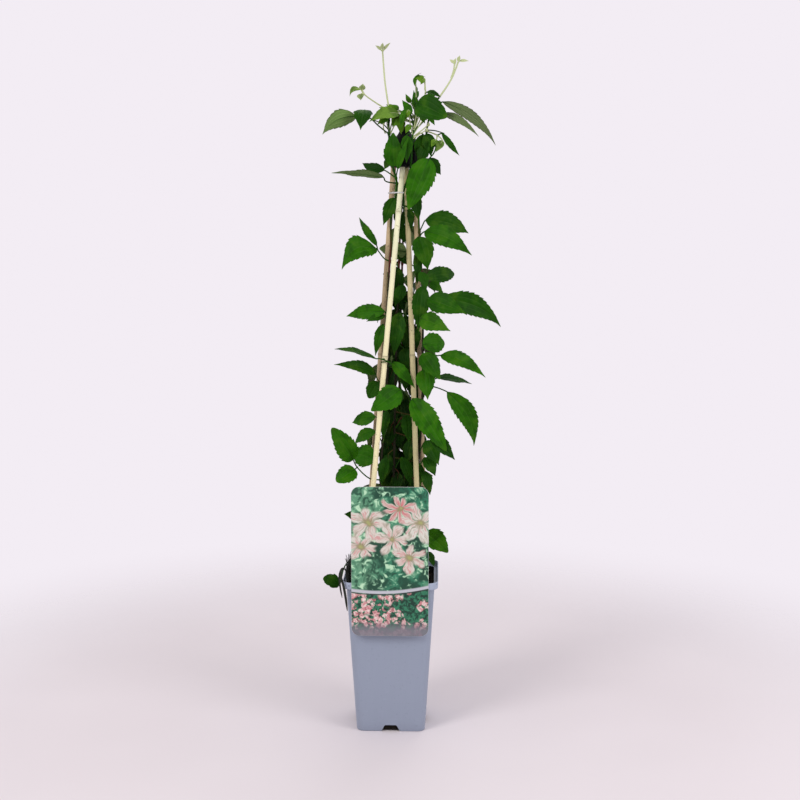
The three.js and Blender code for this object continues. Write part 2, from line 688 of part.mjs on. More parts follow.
function vineSolid(vine, random) {
  const curve = stemCurve(vine);
  const stem = new THREE.ExtrudeGeometry(polygon(stemRadius, 5), {
    steps: Math.round(vine.stem.length * 1.5),
    extrudePath: curve,
    bevelEnabled: false,
  });
  const solids = [solidOf(stem)];
  vine.leaves.forEach(({ from, to, width, stalk, options }) => {
    const [start, ...bends] = stalk;
    const root = Array.isArray(start) ? seen(start) : pointOnStem(curve, start);
    const stalkPoints = [root, ...bends.map(seen)];
    solids.push(solidOf(leafGeometry(stalkPoints, seen(from), seen(to), width, options)));
  });
  (vine.sprays ?? []).forEach((row) => {
    const { root, joint, blades } = leavesOfSpray(curve, row, random);
    solids.push(solidOf(rod([root, joint], stalkRadius, 4, 1)));
    blades.forEach(({ from, to, width, options }) => {
      solids.push(solidOf(leafGeometry([joint], from, to, width, options)));
    });
  });
  return largestOf(wasm.Manifold.union(solids));
}

// Young shoots: pale stems that go on from the tops of two leafy stems.

const shoots = [
  {
    name: 'shoot_left',
    vine: 0,
    stems: [[[-7, 745, -12], [-9, 768, -12], [-10, 783, -12]]],
    leaves: [
      [[-11.5, 782, -12], [-18, 787, -12], 3],
      [[-10, 783, -12], [-9.5, 790, -12], 4],
      [[-8.5, 782, -12], [-1, 790, -12], 3],
    ],
  },
  {
    name: 'shoot_right',
    vine: 2,
    stems: [
      [[62, 742, -10], [68, 753, -10], [75.5, 771, -10]],
      [[66.8, 751, -10], [69, 760, -10], [69.8, 768, -10]],
    ],
    leaves: [
      [[68.5, 768, -10], [64, 772.5, -10], 3],
      [[70, 768.5, -10], [71, 775.5, -10], 4],
      [[75.8, 771.5, -10], [77, 777.5, -10], 4],
      [[77.5, 770, -10], [87, 770, -10], 3],
    ],
  },
];

function shootSolid(shoot) {
  const curve = stemCurve(vines[shoot.vine]);
  const end = curve.getPoint(1);
  const start = end.addScaledVector(curve.getTangent(1), gap * 1.6);
  const solids = shoot.stems.map((points, i) => {
    const path = points.map(seen);
    if (i === 0) path.unshift(start);
    return solidOf(rod(path, stalkRadius, 4, path.length - 1));
  });
  shoot.leaves.forEach(([from, to, width]) => {
    const root = seen(from).lerp(seen(to), -0.15);
    solids.push(solidOf(leafGeometry([root], seen(from), seen(to), width, { segments: 2 })));
  });
  return wasm.Manifold.union(solids);
}

// Soil: a filled block with a lumpy, slightly mounded top, and plain holes for what it holds.

function soilGeometry() {
  const random = seededRandom(91);
  const floor = potFloor + gap;
  const widthAt = (height) => potWidthAt(height) - (potWall + gap) * 2;
  const radiusOfCorner = potCornerRadius - potWall - gap;
  const rings = [
    roundedSquare(widthAt(floor), radiusOfCorner, floor),
    roundedSquare(widthAt(soilHeight), radiusOfCorner, soilHeight),
  ];
  for (let ring = 1; ring < soilRings; ring += 1) {
    const inward = 1 - ring / soilRings;
    const mound = soilMoundHeight * (1 - inward * inward);
    rings.push(roundedSquare(widthAt(soilHeight) * inward, radiusOfCorner * inward, soilHeight)
      .map((point) => point.setZ(soilHeight + mound + soilLumpHeight * (random() - 0.5))));
  }
  let soil = solidOf(loft(rings));
  canes.forEach((cane) => {
    soil = soil.subtract(boreForCane(cane, caneFootHeight - gap, potHeight + 10));
  });
  vines.forEach((vine) => {
    const [foot, ground] = vine.stem.slice(0, 2).map(seen);
    const depth = foot.distanceTo(ground) + 10;
    const hole = new THREE.CylinderGeometry(stemRadius + holeSlack, stemRadius + holeSlack, depth, 8);
    hole.rotateX(Math.PI / 2).translate(0, 0, depth / 2 - gap);
    soil = soil.subtract(solidOf(standAlong(hole, foot, ground)));
  });
  return geometryOf(soil);
}

// The plant

const plant = new THREE.Group();

const finishes = {
  greyPlastic: new THREE.MeshStandardMaterial({ color: 0x9399ac, roughness: 0.55, metalness: 0 }),
  soil: new THREE.MeshStandardMaterial({ color: 0x2b211b, roughness: 1, metalness: 0 }),
  bamboo: new THREE.MeshStandardMaterial({ color: 0xd8c493, roughness: 0.6, metalness: 0 }),
  blackPlastic: new THREE.MeshStandardMaterial({ color: 0x111214, roughness: 0.5, metalness: 0 }),
  clearPlastic: new THREE.MeshStandardMaterial({ color: 0xe6e4de, roughness: 0.3, metalness: 0 }),
  card: new THREE.MeshStandardMaterial({ color: 0x4f8f6d, roughness: 0.35, metalness: 0 }),
  leaf: new THREE.MeshStandardMaterial({ color: 0x2f5f17, roughness: 0.55, metalness: 0 }),
  youngShoot: new THREE.MeshStandardMaterial({ color: 0xb9bd86, roughness: 0.6, metalness: 0 }),
};

function add(name, geometry, material) {
  const mesh = new THREE.Mesh(geometry, material);
  mesh.name = name;
  plant.add(mesh);
}

add('pot', potGeometry(), finishes.greyPlastic);
add('soil', soilGeometry(), finishes.soil);
canes.forEach((cane) => add(cane.name, caneGeometry(cane), finishes.bamboo));
add('cane_cap', capGeometry(), finishes.blackPlastic);
add('cane_tie', tieGeometry(), finishes.clearPlastic);
add('plant_label', labelGeometry(), finishes.card);
vines.forEach((vine) => add(vine.name, geometryOf(vineSolid(vine, seededRandom(37))), finishes.leaf));
shoots.forEach((shoot) => add(shoot.name, geometryOf(shootSolid(shoot)), finishes.youngShoot));

export default plant;
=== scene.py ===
"""A young climbing clematis on four bamboo canes, in a tall square pot with a plant label.

Lengths are millimetres until a mesh is made. +Z is up, -Y is the front, and the origin is
the middle of the pot's flat underside. The places of the leaves are given as seen from the
front, on the upright plane through the pot's axis: across, height, and depth behind it.
"""

import math
from collections import namedtuple
from functools import cached_property

import bpy
from bpy.props import FloatProperty, FloatVectorProperty, IntProperty, PointerProperty
from bpy.types import Operator, Panel, PropertyGroup
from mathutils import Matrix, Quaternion, Vector, noise


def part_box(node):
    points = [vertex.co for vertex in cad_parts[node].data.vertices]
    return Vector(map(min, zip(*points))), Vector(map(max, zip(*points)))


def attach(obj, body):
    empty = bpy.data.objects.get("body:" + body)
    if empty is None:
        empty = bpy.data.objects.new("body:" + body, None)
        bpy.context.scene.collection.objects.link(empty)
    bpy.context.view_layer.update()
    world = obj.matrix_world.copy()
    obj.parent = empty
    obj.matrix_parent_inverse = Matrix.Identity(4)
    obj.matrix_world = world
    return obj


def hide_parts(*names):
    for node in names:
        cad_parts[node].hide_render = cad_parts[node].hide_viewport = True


bl_info = {
    "name": "Potted clematis",
    "version": (1, 0, 0),
    "blender": (4, 5, 0),
    "location": "View3D > Sidebar > Clematis",
    "description": "Builds a potted clematis plant, piece by piece",
    "category": "Add Mesh",
}

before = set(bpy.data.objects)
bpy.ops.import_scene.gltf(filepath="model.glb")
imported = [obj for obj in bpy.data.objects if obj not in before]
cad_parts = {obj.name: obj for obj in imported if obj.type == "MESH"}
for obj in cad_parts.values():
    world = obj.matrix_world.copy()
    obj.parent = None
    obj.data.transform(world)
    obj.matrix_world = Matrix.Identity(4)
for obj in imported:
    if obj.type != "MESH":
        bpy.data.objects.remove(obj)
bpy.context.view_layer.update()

MM = 0.001
UP = Vector((0, 0, 1))
BODY = "root"

# The eye's place, where it looks and its lens
VIEWPOINT = Vector((9.7, -1413, 563))
VIEW_TURN = math.radians(1.83)
VIEW_TILT = math.radians(7.15)
VIEW_LENS = 55.07


# Settings

def colour(name, description, default):
    return FloatVectorProperty(
        name=name, description=description, default=default, subtype="COLOR", min=0, max=1
    )


def length(name, description, millimetres):
    return FloatProperty(
        name=name, description=description, default=millimetres * MM, min=0,
        subtype="DISTANCE", precision=5,
    )


class ClematisLeafSettings(PropertyGroup):
    thickness: length("Thickness", "Thickness of a leaf blade", 0.5)
    tooth: FloatProperty(
        name="Teeth", description="Depth of the teeth as a part of the half width", default=0.12
    )
    tooth_spacing: length("Tooth spacing", "Distance from tooth to tooth", 6.5)
    quilting: length("Quilting", "Height of the blade between its veins", 0.3)
    wave: length("Wave", "Height of the margin's waves", 0.8)
    stalk_radius: length("Stalk radius", "Radius of a leaf stalk", 0.7)
    stem_radius: length("Stem radius", "Radius of a climbing stem", 1.4)
    # The shaded leaf colour is partly the colour of old leaves and partly painted shade of leaves
    # in shadow
    dark: colour("Shaded leaf", "Colour of an old or shaded leaf", (0.006, 0.040, 0.001))
    mid: colour("Leaf", "Colour of a grown leaf", (0.027, 0.145, 0.001))
    young: colour("Young leaf", "Colour of a young leaf", (0.130, 0.270, 0.016))
    under: colour("Underside", "Colour of a leaf's underside", (0.150, 0.270, 0.065))
    bark: colour("Old stem", "Colour of the woody part of a stem", (0.022, 0.012, 0.009))
    shoot: colour("Young shoot", "Colour of the pale young shoots", (0.600, 0.660, 0.330))


class ClematisPotSettings(PropertyGroup):
    wall: length("Wall", "Thickness of the pot's wall", 1.3)
    outside: colour("Outside", "Colour of the pot's outside", (0.310, 0.352, 0.448))
    # The inside colour is nearly black: painted shade of the pot's hollow below its ledge
    inside: colour("Inside", "Colour of the pot's inside", (0.006, 0.006, 0.007))
    soil: colour("Soil", "Colour of the soil", (0.005, 0.004, 0.003))
    crumbs: IntProperty(name="Crumbs", description="Bits that lie on the soil", default=420, min=0)


class ClematisCaneSettings(PropertyGroup):
    radius: length("Radius", "Radius of a bamboo cane", 3.0)
    knuckle: length("Knuckle", "Radius of a cane at its knuckles", 3.5)
    cream: colour("Front left", "Colour of the cream cane", (0.870, 0.780, 0.480))
    tan: colour("Front right", "Colour of the tan cane", (0.565, 0.490, 0.270))
    brown: colour("Rear", "Colour of the rear canes", (0.450, 0.340, 0.205))


class ClematisLabelSettings(PropertyGroup):
    corner: length("Corner", "Radius of the label's corners", 9.0)
    ground: colour("Ground", "Green ground of the print", (0.030, 0.220, 0.120))
    petal: colour("Petals", "Pale pink of the printed petals", (0.560, 0.520, 0.430))


def settings(group):
    return getattr(bpy.context.scene, "clematis_" + group)


# Small repeatable randomness: each draw follows from the one before

class Chance:
    def __init__(self, seed):
        self.seed = seed

    def draw(self):
        self.seed = self.seed * 16807 % 2147483647
        return self.seed / 2147483647

    def spread(self, low, high):
        return low + (high - low) * self.draw()


# Geometry

def clamp(value, low=0, high=1):
    return min(max(value, low), high)


def swung(point, angle):
    """The point turned about the upright axis."""
    point = Vector(point)
    point.rotate(Quaternion(UP, angle))
    return point


def seen(place):
    """The point that is seen at this place from the front."""
    across, height, depth = place
    slide = 1 - depth / VIEWPOINT.y
    return swung((
        VIEWPOINT.x + (across - VIEWPOINT.x) * slide,
        depth,
        VIEWPOINT.z + (height - VIEWPOINT.z) * slide,
    ), VIEW_TURN)


def on_circle(middle, radius, angle, height):
    x, y = middle.x + radius * math.cos(angle), middle.y + radius * math.sin(angle)
    return Vector((x, y, height))


class Curve:
    """A smooth curve through points. Points that lie close together don't make it loop."""

    def __init__(self, points):
        self.points = [Vector(point) for point in points]

    def at(self, t):
        points = self.points
        place = clamp(t) * (len(points) - 1)
        i = min(int(place), len(points) - 2)
        weight = place - i
        p1, p2 = points[i], points[i + 1]
        p0 = points[i - 1] if i else p1 * 2 - p2
        p3 = points[i + 2] if i + 2 < len(points) else p2 * 2 - p1
        d0, d1, d2 = (math.sqrt((b - a).length) or 1 for a, b in ((p0, p1), (p1, p2), (p2, p3)))
        m1 = ((p1 - p0) / d0 - (p2 - p0) / (d0 + d1) + (p2 - p1) / d1) * d1
        m2 = ((p2 - p1) / d1 - (p3 - p1) / (d1 + d2) + (p3 - p2) / d2) * d1
        c2 = (p2 - p1) * 3 - m1 * 2 - m2
        c3 = (p1 - p2) * 2 + m1 + m2
        return p1 + m1 * weight + c2 * weight ** 2 + c3 * weight ** 3

    def tangent(self, t):
        step = 1e-3
        return (self.at(t + step) - self.at(t - step)).normalized()

    def at_height(self, height):
        low, high = 0.0, 1.0
        for _ in range(20):
            middle = (low + high) / 2
            if self.at(middle).z < height:
                low = middle
            else:
                high = middle
        return self.at(low)

    def length(self):
        steps = 8 * len(self.points)
        places = [self.at(i / steps) for i in range(steps + 1)]
        return sum((b - a).length for a, b in zip(places, places[1:]))


def seen_curve(places):
    return Curve([seen(place) for place in places])


class Piece:
    """Points, faces and finishes of one piece, in millimetres, until it is made."""

    def __init__(self, name, *finishes):
        self.name = name
        self.finishes = finishes
        self.points, self.faces, self.face_finish = [], [], []
        self.place, self.tone = [], []

    def add_points(self, points, places=None, tone=0.0):
        start = len(self.points)
        self.points.extend(points)
        self.place.extend(places or [(0.5, 0.5)] * len(points))
        self.tone.extend(tone if isinstance(tone, list) else [tone] * len(points))
        return start

    def add_face(self, corners, finish=0):
        self.faces.append(corners)
        self.face_finish.append(finish)

    def add_rings(self, rings, finish=0, tone=0.0, ends=True):
        """A skin through rings of points that all have the same count."""
        count = len(rings[0])
        start = self.add_points([point for ring in rings for point in ring], tone=tone)
        last = start + (len(rings) - 1) * count
        for first in range(start, last, count):
            for i in range(count):
                a, b = first + i, first + (i + 1) % count
                self.add_face((a, b, b + count, a + count), finish)
        if ends:
            self.add_face(tuple(reversed(range(start, start + count))), finish)
            self.add_face(tuple(range(last, last + count)), finish)

    def make(self, smooth=True, angle=None):
        mesh = bpy.data.meshes.new(self.name)
        mesh.from_pydata([point * MM for point in self.points], [], self.faces)
        for finish in self.finishes:
            mesh.materials.append(finish_named(finish))
        mesh.polygons.foreach_set("material_index", self.face_finish)
        mesh.polygons.foreach_set("use_smooth", [smooth] * len(mesh.polygons))
        layer = mesh.uv_layers.new(name="blade")
        for loop in mesh.loops:
            layer.data[loop.index].uv = self.place[loop.vertex_index]
        mesh.attributes.new("tone", "FLOAT", "POINT").data.foreach_set("value", self.tone)
        mesh.validate()
        if angle is not None:
            mesh.set_sharp_from_angle(angle=math.radians(angle))
        mesh.update()
        made = bpy.data.objects.new(self.name, mesh)
        bpy.context.scene.collection.objects.link(made)
        return made


def hand_over(made, solid=None):
    """Lets a made piece ride the plant's body, in place of a solid where it has one."""
    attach(made, BODY)
    if solid:
        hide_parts(solid)


def ring_round(middle, along, radius, sides, start=None):
    """Points round a direction. start keeps the first point on the same side along a tube."""
    upper = start or (UP if abs(along.z) < 0.9 else Vector((0, 1, 0)))
    upper = (upper - along * upper.dot(along)).normalized()
    right = along.cross(upper)
    angles = [math.tau * i / sides for i in range(sides)]
    ring = [middle + (upper * math.cos(a) + right * math.sin(a)) * radius for a in angles]
    return ring, upper


def add_tube(piece, curve, radius_at, sides=8, step=2.0, finish=0, tone=0.0):
    """A tube along a curve. radius_at gives its radius from 0, its start, to 1, its end."""
    steps = max(3, round(curve.length() / step))
    rings = []
    upper = None
    for i in range(steps + 1):
        t = i / steps
        ring, upper = ring_round(curve.at(t), curve.tangent(t), radius_at(t), sides, upper)
        rings.append(ring)
    if callable(tone):
        tone = [tone(point) for ring in rings for point in ring]
    piece.add_rings(rings, finish, tone)


def turned(middle, profile, sides, wobble=lambda angle, height: 0):
    """Rings of a shape turned round an upright axis, from (radius, height) pairs."""
    angles = [math.tau * i / sides for i in range(sides)]
    return [
        [on_circle(middle, radius + wobble(angle, height), angle, height) for angle in angles]
        for radius, height in profile
    ]


def rounded_square(width, corner, height, steps=8, side_steps=6):
    """A ring of points round a square with round corners, anticlockwise from its right side."""
    inner = width / 2 - corner
    ring = []
    for turn in range(4):
        quarter = turn * math.pi / 2
        middle = swung((inner, inner, 0), quarter)
        for step in range(steps + 1):
            ring.append(on_circle(middle, corner, quarter + step / steps * math.pi / 2, height))
        first = ring[-1]
        away = swung((-math.sin(quarter), math.cos(quarter), 0), math.pi / 2)
        for step in range(1, side_steps):
            ring.append(first + away * (2 * inner * step / side_steps))
    return ring


# Shader values and nodes

class Wire:
    """A value in a shader, which takes sums like a number does."""

    def __init__(self, socket):
        self.socket = socket
        self.tree = socket.id_data

    def calc(self, operation, *others):
        inputs = dict(enumerate((self, *others)))
        return add_node(self.tree, "ShaderNodeMath", inputs, operation=operation)(0)

    def __add__(self, other):
        return self.calc("ADD", other)

    def __sub__(self, other):
        return self.calc("SUBTRACT", other)

    def __mul__(self, other):
        return self.calc("MULTIPLY", other)

    def __truediv__(self, other):
        return self.calc("DIVIDE", other)

    def __pow__(self, other):
        return self.calc("POWER", other)

    def __abs__(self):
        return self.calc("ABSOLUTE")

    def soft(self, low, high, to_low=0.0, to_high=1.0):
        """Goes smoothly from to_low to to_high while the value goes from low to high."""
        limits = {"From Min": low, "From Max": high, "To Min": to_low, "To Max": to_high}
        return add_node(
            self.tree, "ShaderNodeMapRange", {"Value": self, **limits},
            interpolation_type="SMOOTHSTEP",
        )("Result")


def add_node(tree, kind, inputs=None, **fixed):
    """Adds a node, and gives back a function from an output's name or number to its wire."""
    node = tree.nodes.new(kind)
    for name, value in fixed.items():
        setattr(node, name, value)
    for name, value in (inputs or {}).items():
        if isinstance(value, Wire):
            tree.links.new(value.socket, node.inputs[name])
        else:
            node.inputs[name].default_value = value
    return lambda output: Wire(node.outputs[output])


def mix(factor, first, second):
    first, second = (c if isinstance(c, Wire) else (*c[:3], 1) for c in (first, second))
    inputs = {0: factor, 6: first, 7: second}
    return add_node(factor.tree, "ShaderNodeMix", inputs, data_type="RGBA")(2)


def paint(base, *coats):
    """A colour under coats, each of which is a factor and a colour."""
    for factor, coat in coats:
        base = mix(factor, base, coat)
    return base


def scaled(base, factor):
    return tuple(value * factor for value in base)


def noise_at(place, scale, detail=3.0, rough=0.5, distortion=0.0, output="Fac"):
    return add_node(place.tree, "ShaderNodeTexNoise", {
        "Vector": place, "Scale": scale, "Detail": detail,
        "Roughness": rough, "Distortion": distortion,
    })(output)


def vector_node(operation, first, *others):
    inputs = dict(enumerate((first, *others)))
    return add_node(first.tree, "ShaderNodeVectorMath", inputs, operation=operation)(0)


def stretch(place, *scale):
    return vector_node("MULTIPLY", place, scale)


def shaken(place, scale, detail, reach):
    """The place, moved about by a noise."""
    drift = noise_at(place, scale, detail, output="Color")
    return vector_node("MULTIPLY_ADD", drift, (reach, reach, reach), place)


def apart(place):
    parts = add_node(place.tree, "ShaderNodeSeparateXYZ", {0: place})
    return parts(0), parts(1), parts(2)


def joined(*parts):
    return add_node(parts[0].tree, "ShaderNodeCombineXYZ", dict(enumerate(parts)))(0)


def bump(height, strength, distance):
    inputs = {"Height": height, "Strength": strength, "Distance": distance}
    return add_node(height.tree, "ShaderNodeBump", inputs)("Normal")


# Node groups. Each has a place as its first input, and is made when it is first used.

GROUPS = {}


def group(name, **inputs):
    """Keeps a function as what wires the group of this name."""
    def keep(wire):
        GROUPS[name] = (wire, inputs)
        return wire
    return keep


def make_group(name):
    wire, inputs = GROUPS[name]
    tree = bpy.data.node_groups.new(name, "ShaderNodeTree")
    tree.interface.new_socket("Place", in_out="INPUT", socket_type="NodeSocketVector")
    for socket, value in inputs.items():
        made = tree.interface.new_socket(socket, in_out="INPUT", socket_type="NodeSocketFloat")
        made.default_value = value
    given = tree.nodes.new("NodeGroupInput").outputs
    results = wire(lambda socket: Wire(given[socket]))
    for socket in results:
        tree.interface.new_socket(socket, in_out="OUTPUT", socket_type="NodeSocketFloat")
    out = tree.nodes.new("NodeGroupOutput").inputs
    for socket, value in results.items():
        tree.links.new(value.socket, out[socket])


def use_group(tree, name, inputs):
    if name not in bpy.data.node_groups:
        make_group(name)
    return add_node(tree, "ShaderNodeGroup", inputs, node_tree=bpy.data.node_groups[name])


@group("leaf_veins", Seed=0.0)
def leaf_veins(given):
    """Veins of a blade: five that run from its foot to its tip, and a fine net between them."""
    across, along, _ = apart(given("Place"))
    reach = abs((across - 0.5) * 2.0)
    middle, inner, outer = (
        abs(reach - vein).soft(width * 0.25, width, 1.0, 0.0)
        for vein, width in ((0.0, 0.05), (0.42, 0.045), (0.74, 0.035))
    )
    main = middle.calc("MAXIMUM", inner * 0.75).calc("MAXIMUM", outer * 0.5)
    slant = along * 11.0 + given("Seed") - reach * 1.6
    rungs = abs(slant.calc("FRACT") - 0.5).soft(0.0, 0.10, 1.0, 0.0)
    inputs = {"Vector": stretch(given("Place"), 9.0, 16.0, 1.0), "Scale": 1.6}
    cells = add_node(across.tree, "ShaderNodeTexVoronoi", inputs, feature="DISTANCE_TO_EDGE")
    net = cells("Distance").soft(0.0, 0.09, 1.0, 0.0) * 0.6
    return {
        "Main": main, "Net": net.calc("MAXIMUM", rungs * 0.8), "Margin": reach.soft(0.82, 1.0),
    }


@group("fine_grain", Slow=20.0, Quick=400.0, Speck=900.0)
def fine_grain(given):
    """Fine grain: a slow and a quick noise, and small specks, all from 0 to 1."""
    place = given("Place")
    return {
        "Slow": noise_at(place, given("Slow")),
        "Quick": noise_at(place, given("Quick"), 4.0, 0.6),
        "Specks": noise_at(place, given("Speck"), 1.0).soft(0.66, 0.74),
    }


@group("printed_flower", Across=0.0, Height=0.0, Radius=10.0, Petals=6.0, Turn=0.0, Squash=1.0)
def printed_flower(given):
    """A printed flower: where it is, how far out on a petal, its petals' middles, and streaks."""
    x, _, z = apart(given("Place"))
    dx = x - given("Across")
    dz = (z - given("Height")) / given("Squash")
    far = (dx * dx + dz * dz).calc("SQRT")
    reach = far / given("Radius")
    angle = dz.calc("ARCTAN2", dx) + given("Turn")
    lobe = abs((angle * given("Petals") * 0.5).calc("COSINE"))
    heading = joined(dx / far, dz / far, given("Radius"))
    uneven = noise_at(heading, 1.3, 1.0).soft(0.3, 0.7, 0.72, 1.1)
    beyond = reach - (lobe ** 0.75 * 0.62 + 0.38) * uneven
    polar = joined(angle * 7.0, reach * 1.8, given("Radius"))
    return {
        "Mask": beyond.soft(-0.16, 0.06, 1.0, 0.0), "Reach": reach,
        "Middle": lobe, "Streak": noise_at(polar, 1.0, 2.0),
    }


# Finishes. Each is a function that gives what feeds the shader, kept under its material's name.

FINISHES = {}


def finish(name, grain=(), **fixed):
    """Keeps a function as what wires the material of this name. fixed sockets have one value."""
    def keep(wire):
        FINISHES[name] = (wire, grain, fixed)
        return wire
    return keep


class Look:
    """A material in the making, and the values that its colours start from."""

    def __init__(self, name, grain):
        self.material = bpy.data.materials.new(name)
        self.material.use_nodes = True
        self.tree = self.material.node_tree
        self.grain_scales = dict(zip(("Slow", "Quick", "Speck"), grain))

    @cached_property
    def place(self):
        return add_node(self.tree, "ShaderNodeTexCoord")("Object")

    @cached_property
    def tone(self):
        return add_node(self.tree, "ShaderNodeAttribute", attribute_name="tone")("Fac")

    @cached_property
    def grain(self):
        found = use_group(self.tree, "fine_grain", {"Place": self.place, **self.grain_scales})
        return found("Slow"), found("Quick"), found("Specks")


def finish_named(name):
    """The material of that name, made the first time it is asked for."""
    if name not in bpy.data.materials:
        wire, grain, fixed = FINISHES[name]
        look = Look(name, grain)
        sockets = look.tree.nodes["Principled BSDF"].inputs
        for socket, value in fixed.items():
            sockets[socket.replace("_", " ")].default_value = value
        for socket, value in wire(look).items():
            look.tree.links.new(value.socket, sockets[socket])
    return bpy.data.materials[name]


def result(base, normal, rough=None):
    sockets = {"Base Color": base, "Normal": normal}
    return {**sockets, "Roughness": rough} if rough else sockets


def blade_values(look):
    """How far along its blade a point is, and the blade's main veins, net and margin there."""
    blade = add_node(look.tree, "ShaderNodeUVMap", uv_map="blade")("UV")
    veins = use_group(look.tree, "leaf_veins", {"Place": blade, "Seed": look.tone * 7.0})
    return apart(blade)[1], veins("Main"), veins("Net"), veins("Margin")


def leaf_result(look, base, relief, least_rough):
    quick = look.grain[1]
    return result(base, bump(relief + quick * 0.5, 0.45, 0.0003), quick * 0.22 + least_rough)


LEAF_GRAIN = (55.0, 900.0, 500.0)


@finish("leaf_upper", LEAF_GRAIN, Specular_IOR_Level=0.06)
def leaf_upper(look):
    leaf, tone = settings("leaf"), look.tone
    along, main, net, margin = blade_values(look)
    patches = noise_at(look.place, 75.0, 2.0, 0.5, 0.4)
    base = paint(
        leaf.dark,
        # Painted shade: tones below 0 take the blade towards black
        (tone.soft(-0.5, 0.0, 0.7, 0.0), (0.001, 0.003, 0.001)),
        (tone.soft(0.0, 0.45), leaf.mid),
        (tone.soft(0.5, 1.0), leaf.young),
        (tone.soft(1.0, 1.6), leaf.shoot),
        (patches.soft(0.5, 0.72, 0.0, 0.2), leaf.young),
        (patches.soft(0.36, 0.52, 0.55, 0.12), leaf.dark),
        (main * 0.11, leaf.under),
        (net * 0.04, leaf.under),
        (margin * 0.05, leaf.young),
        (along.soft(0.86, 1.0, 0.0, 0.18), leaf.young),
    )
    return leaf_result(look, base, net * -0.4 - main * 0.6, 0.34)


@finish("leaf_under", LEAF_GRAIN, Specular_IOR_Level=0.05)
def leaf_under(look):
    leaf = settings("leaf")
    _, main, net, margin = blade_values(look)
    olive = (0.095, 0.130, 0.055)
    base = paint(
        leaf.under,
        # Low tones, partly age and partly painted shade, turn the underside olive
        (look.tone.soft(0.0, 0.7, 0.85, 0.0), olive),
        (look.grain[0].soft(0.4, 0.7, 0.0, 0.35), olive),
        (main * 0.2, leaf.shoot),
        (net * 0.08, leaf.shoot),
        (margin * 0.55, (0.050, 0.035, 0.022)),
    )
    return leaf_result(look, base, net * 0.6 + main, 0.5)


@finish("stem_skin", (70.0, 1500.0, 700.0), Roughness=0.6, Specular_IOR_Level=0.15)
def stem_skin(look):
    """Green stalks above, browner and striped where the stem is old."""
    leaf, tone = settings("leaf"), look.tone
    slow, quick, _ = look.grain
    stripes = noise_at(stretch(look.place, 1600.0, 1600.0, 40.0), 1.0, 3.0)
    green = mix(slow.soft(0.35, 0.75, 0.1, 0.8), leaf.dark, leaf.mid)
    base = paint(
        leaf.bark,
        (tone.soft(0.02, 0.12), (0.115, 0.018, 0.020)),
        (tone.soft(0.15, 0.4), mix(tone.soft(0.62, 0.9), green, leaf.shoot)),
        (stripes * 0.35, leaf.dark),
    )
    return result(base, bump(stripes + quick * 0.4, 0.5, 0.0003))


@finish("shoot_skin", (90.0, 1400.0, 600.0), Roughness=0.7)
def shoot_skin(look):
    leaf = settings("leaf")
    slow, quick, _ = look.grain
    base = paint(
        leaf.shoot,
        (slow * 0.3, leaf.under),
        (apart(look.place)[2].soft(0.764, 0.786, 0.0, 0.75), (0.22, 0.26, 0.09)),
        (quick * 0.3, (0.76, 0.78, 0.56)),
    )
    return result(base, bump(quick, 0.2, 0.0002))


POT_GRAIN = (14.0, 650.0, 330.0)


def flow_marks(look):
    """The faint upright marks that the plastic has from its mould."""
    return noise_at(stretch(look.place, 260.0, 260.0, 12.0), 1.0, 4.0)


@finish("pot_outside", POT_GRAIN, Specular_IOR_Level=0.35)
def pot_outside(look):
    pot, flow = settings("pot"), flow_marks(look)
    _, quick, specks = look.grain
    height = apart(look.place)[2]
    # darker serves the painted shade at the foot and the flow marks; paler serves the painted
    # highlight on the rim and the scuffs
    darker, paler = scaled(pot.outside, 0.84), scaled(pot.outside, 1.32)
    scuffs = noise_at(stretch(look.place, 90, 90, 900), 1.0, 6.0).soft(0.62, 0.72)
    base = paint(
        pot.outside,
        # Painted shade: the pot darkens towards its foot, below 90 mm
        (height.soft(0.0, 0.09, 0.2, 0.0), darker),
        # Painted highlight: the rim, from 170 mm up, is paler than the rest of the plastic
        (height.soft(0.170, 0.176), paler),
        (flow * 0.22, darker),
        (scuffs * 0.18, paler),
        ((height.soft(0.172, 0.181) * 0.75 + 0.08) * specks, pot.soil),
    )
    rough = (flow + quick).soft(0.6, 1.4, 0.38, 0.58)
    return result(base, bump(quick + flow * 0.8, 0.25, 0.0002), rough)


# The inner wall from the ledge down: nearly black as painted shade of the hollow, with stains of
# soil
@finish("pot_inside", POT_GRAIN, Specular_IOR_Level=0.1)
def pot_inside(look):
    pot, flow = settings("pot"), flow_marks(look)
    slow, quick, _ = look.grain
    base = mix(slow.soft(0.45, 0.75) * 0.15, pot.inside, pot.soil)
    rough = quick.soft(0.3, 0.7, 0.45, 0.7)
    return result(base, bump(quick + flow * 0.8, 0.25, 0.0002), rough)


@finish("compost", (160.0, 900.0, 420.0), Specular_IOR_Level=0.15)
def compost(look):
    soil = settings("pot").soil
    slow, quick, specks = look.grain
    fibre = noise_at(stretch(look.place, 900.0, 200.0, 500.0), 1.0, 5.0, 0.6, 1.5)
    base = paint(
        soil,
        (slow.soft(0.35, 0.7), scaled(soil, 3.2)),
        (look.tone.soft(0.2, 1.0), (0.045, 0.028, 0.016)),
        (specks * 0.5, (0.06, 0.04, 0.025)),
    )
    return result(base, bump(fibre + quick, 0.9, 0.0012), slow.soft(0.2, 0.8, 0.8, 1.0))


# Canes: each leans between two places, and has its colour and how much of it is shaded
CANES = {
    "cane_front_left": ((-21.7, 285, -25), (11.5, 640, -9.5), "cream", 0.25),
    "cane_front_right": ((29, 290, -18), (17.2, 640, 6), "tan", 0.55),
    "cane_rear_left": ((-23.5, 285, 20), (1.5, 640, 2), "brown", 0.5),
    "cane_rear_right": ((36.5, 290, 14), (27.4, 640, 0.5), "brown", 0.9),
}


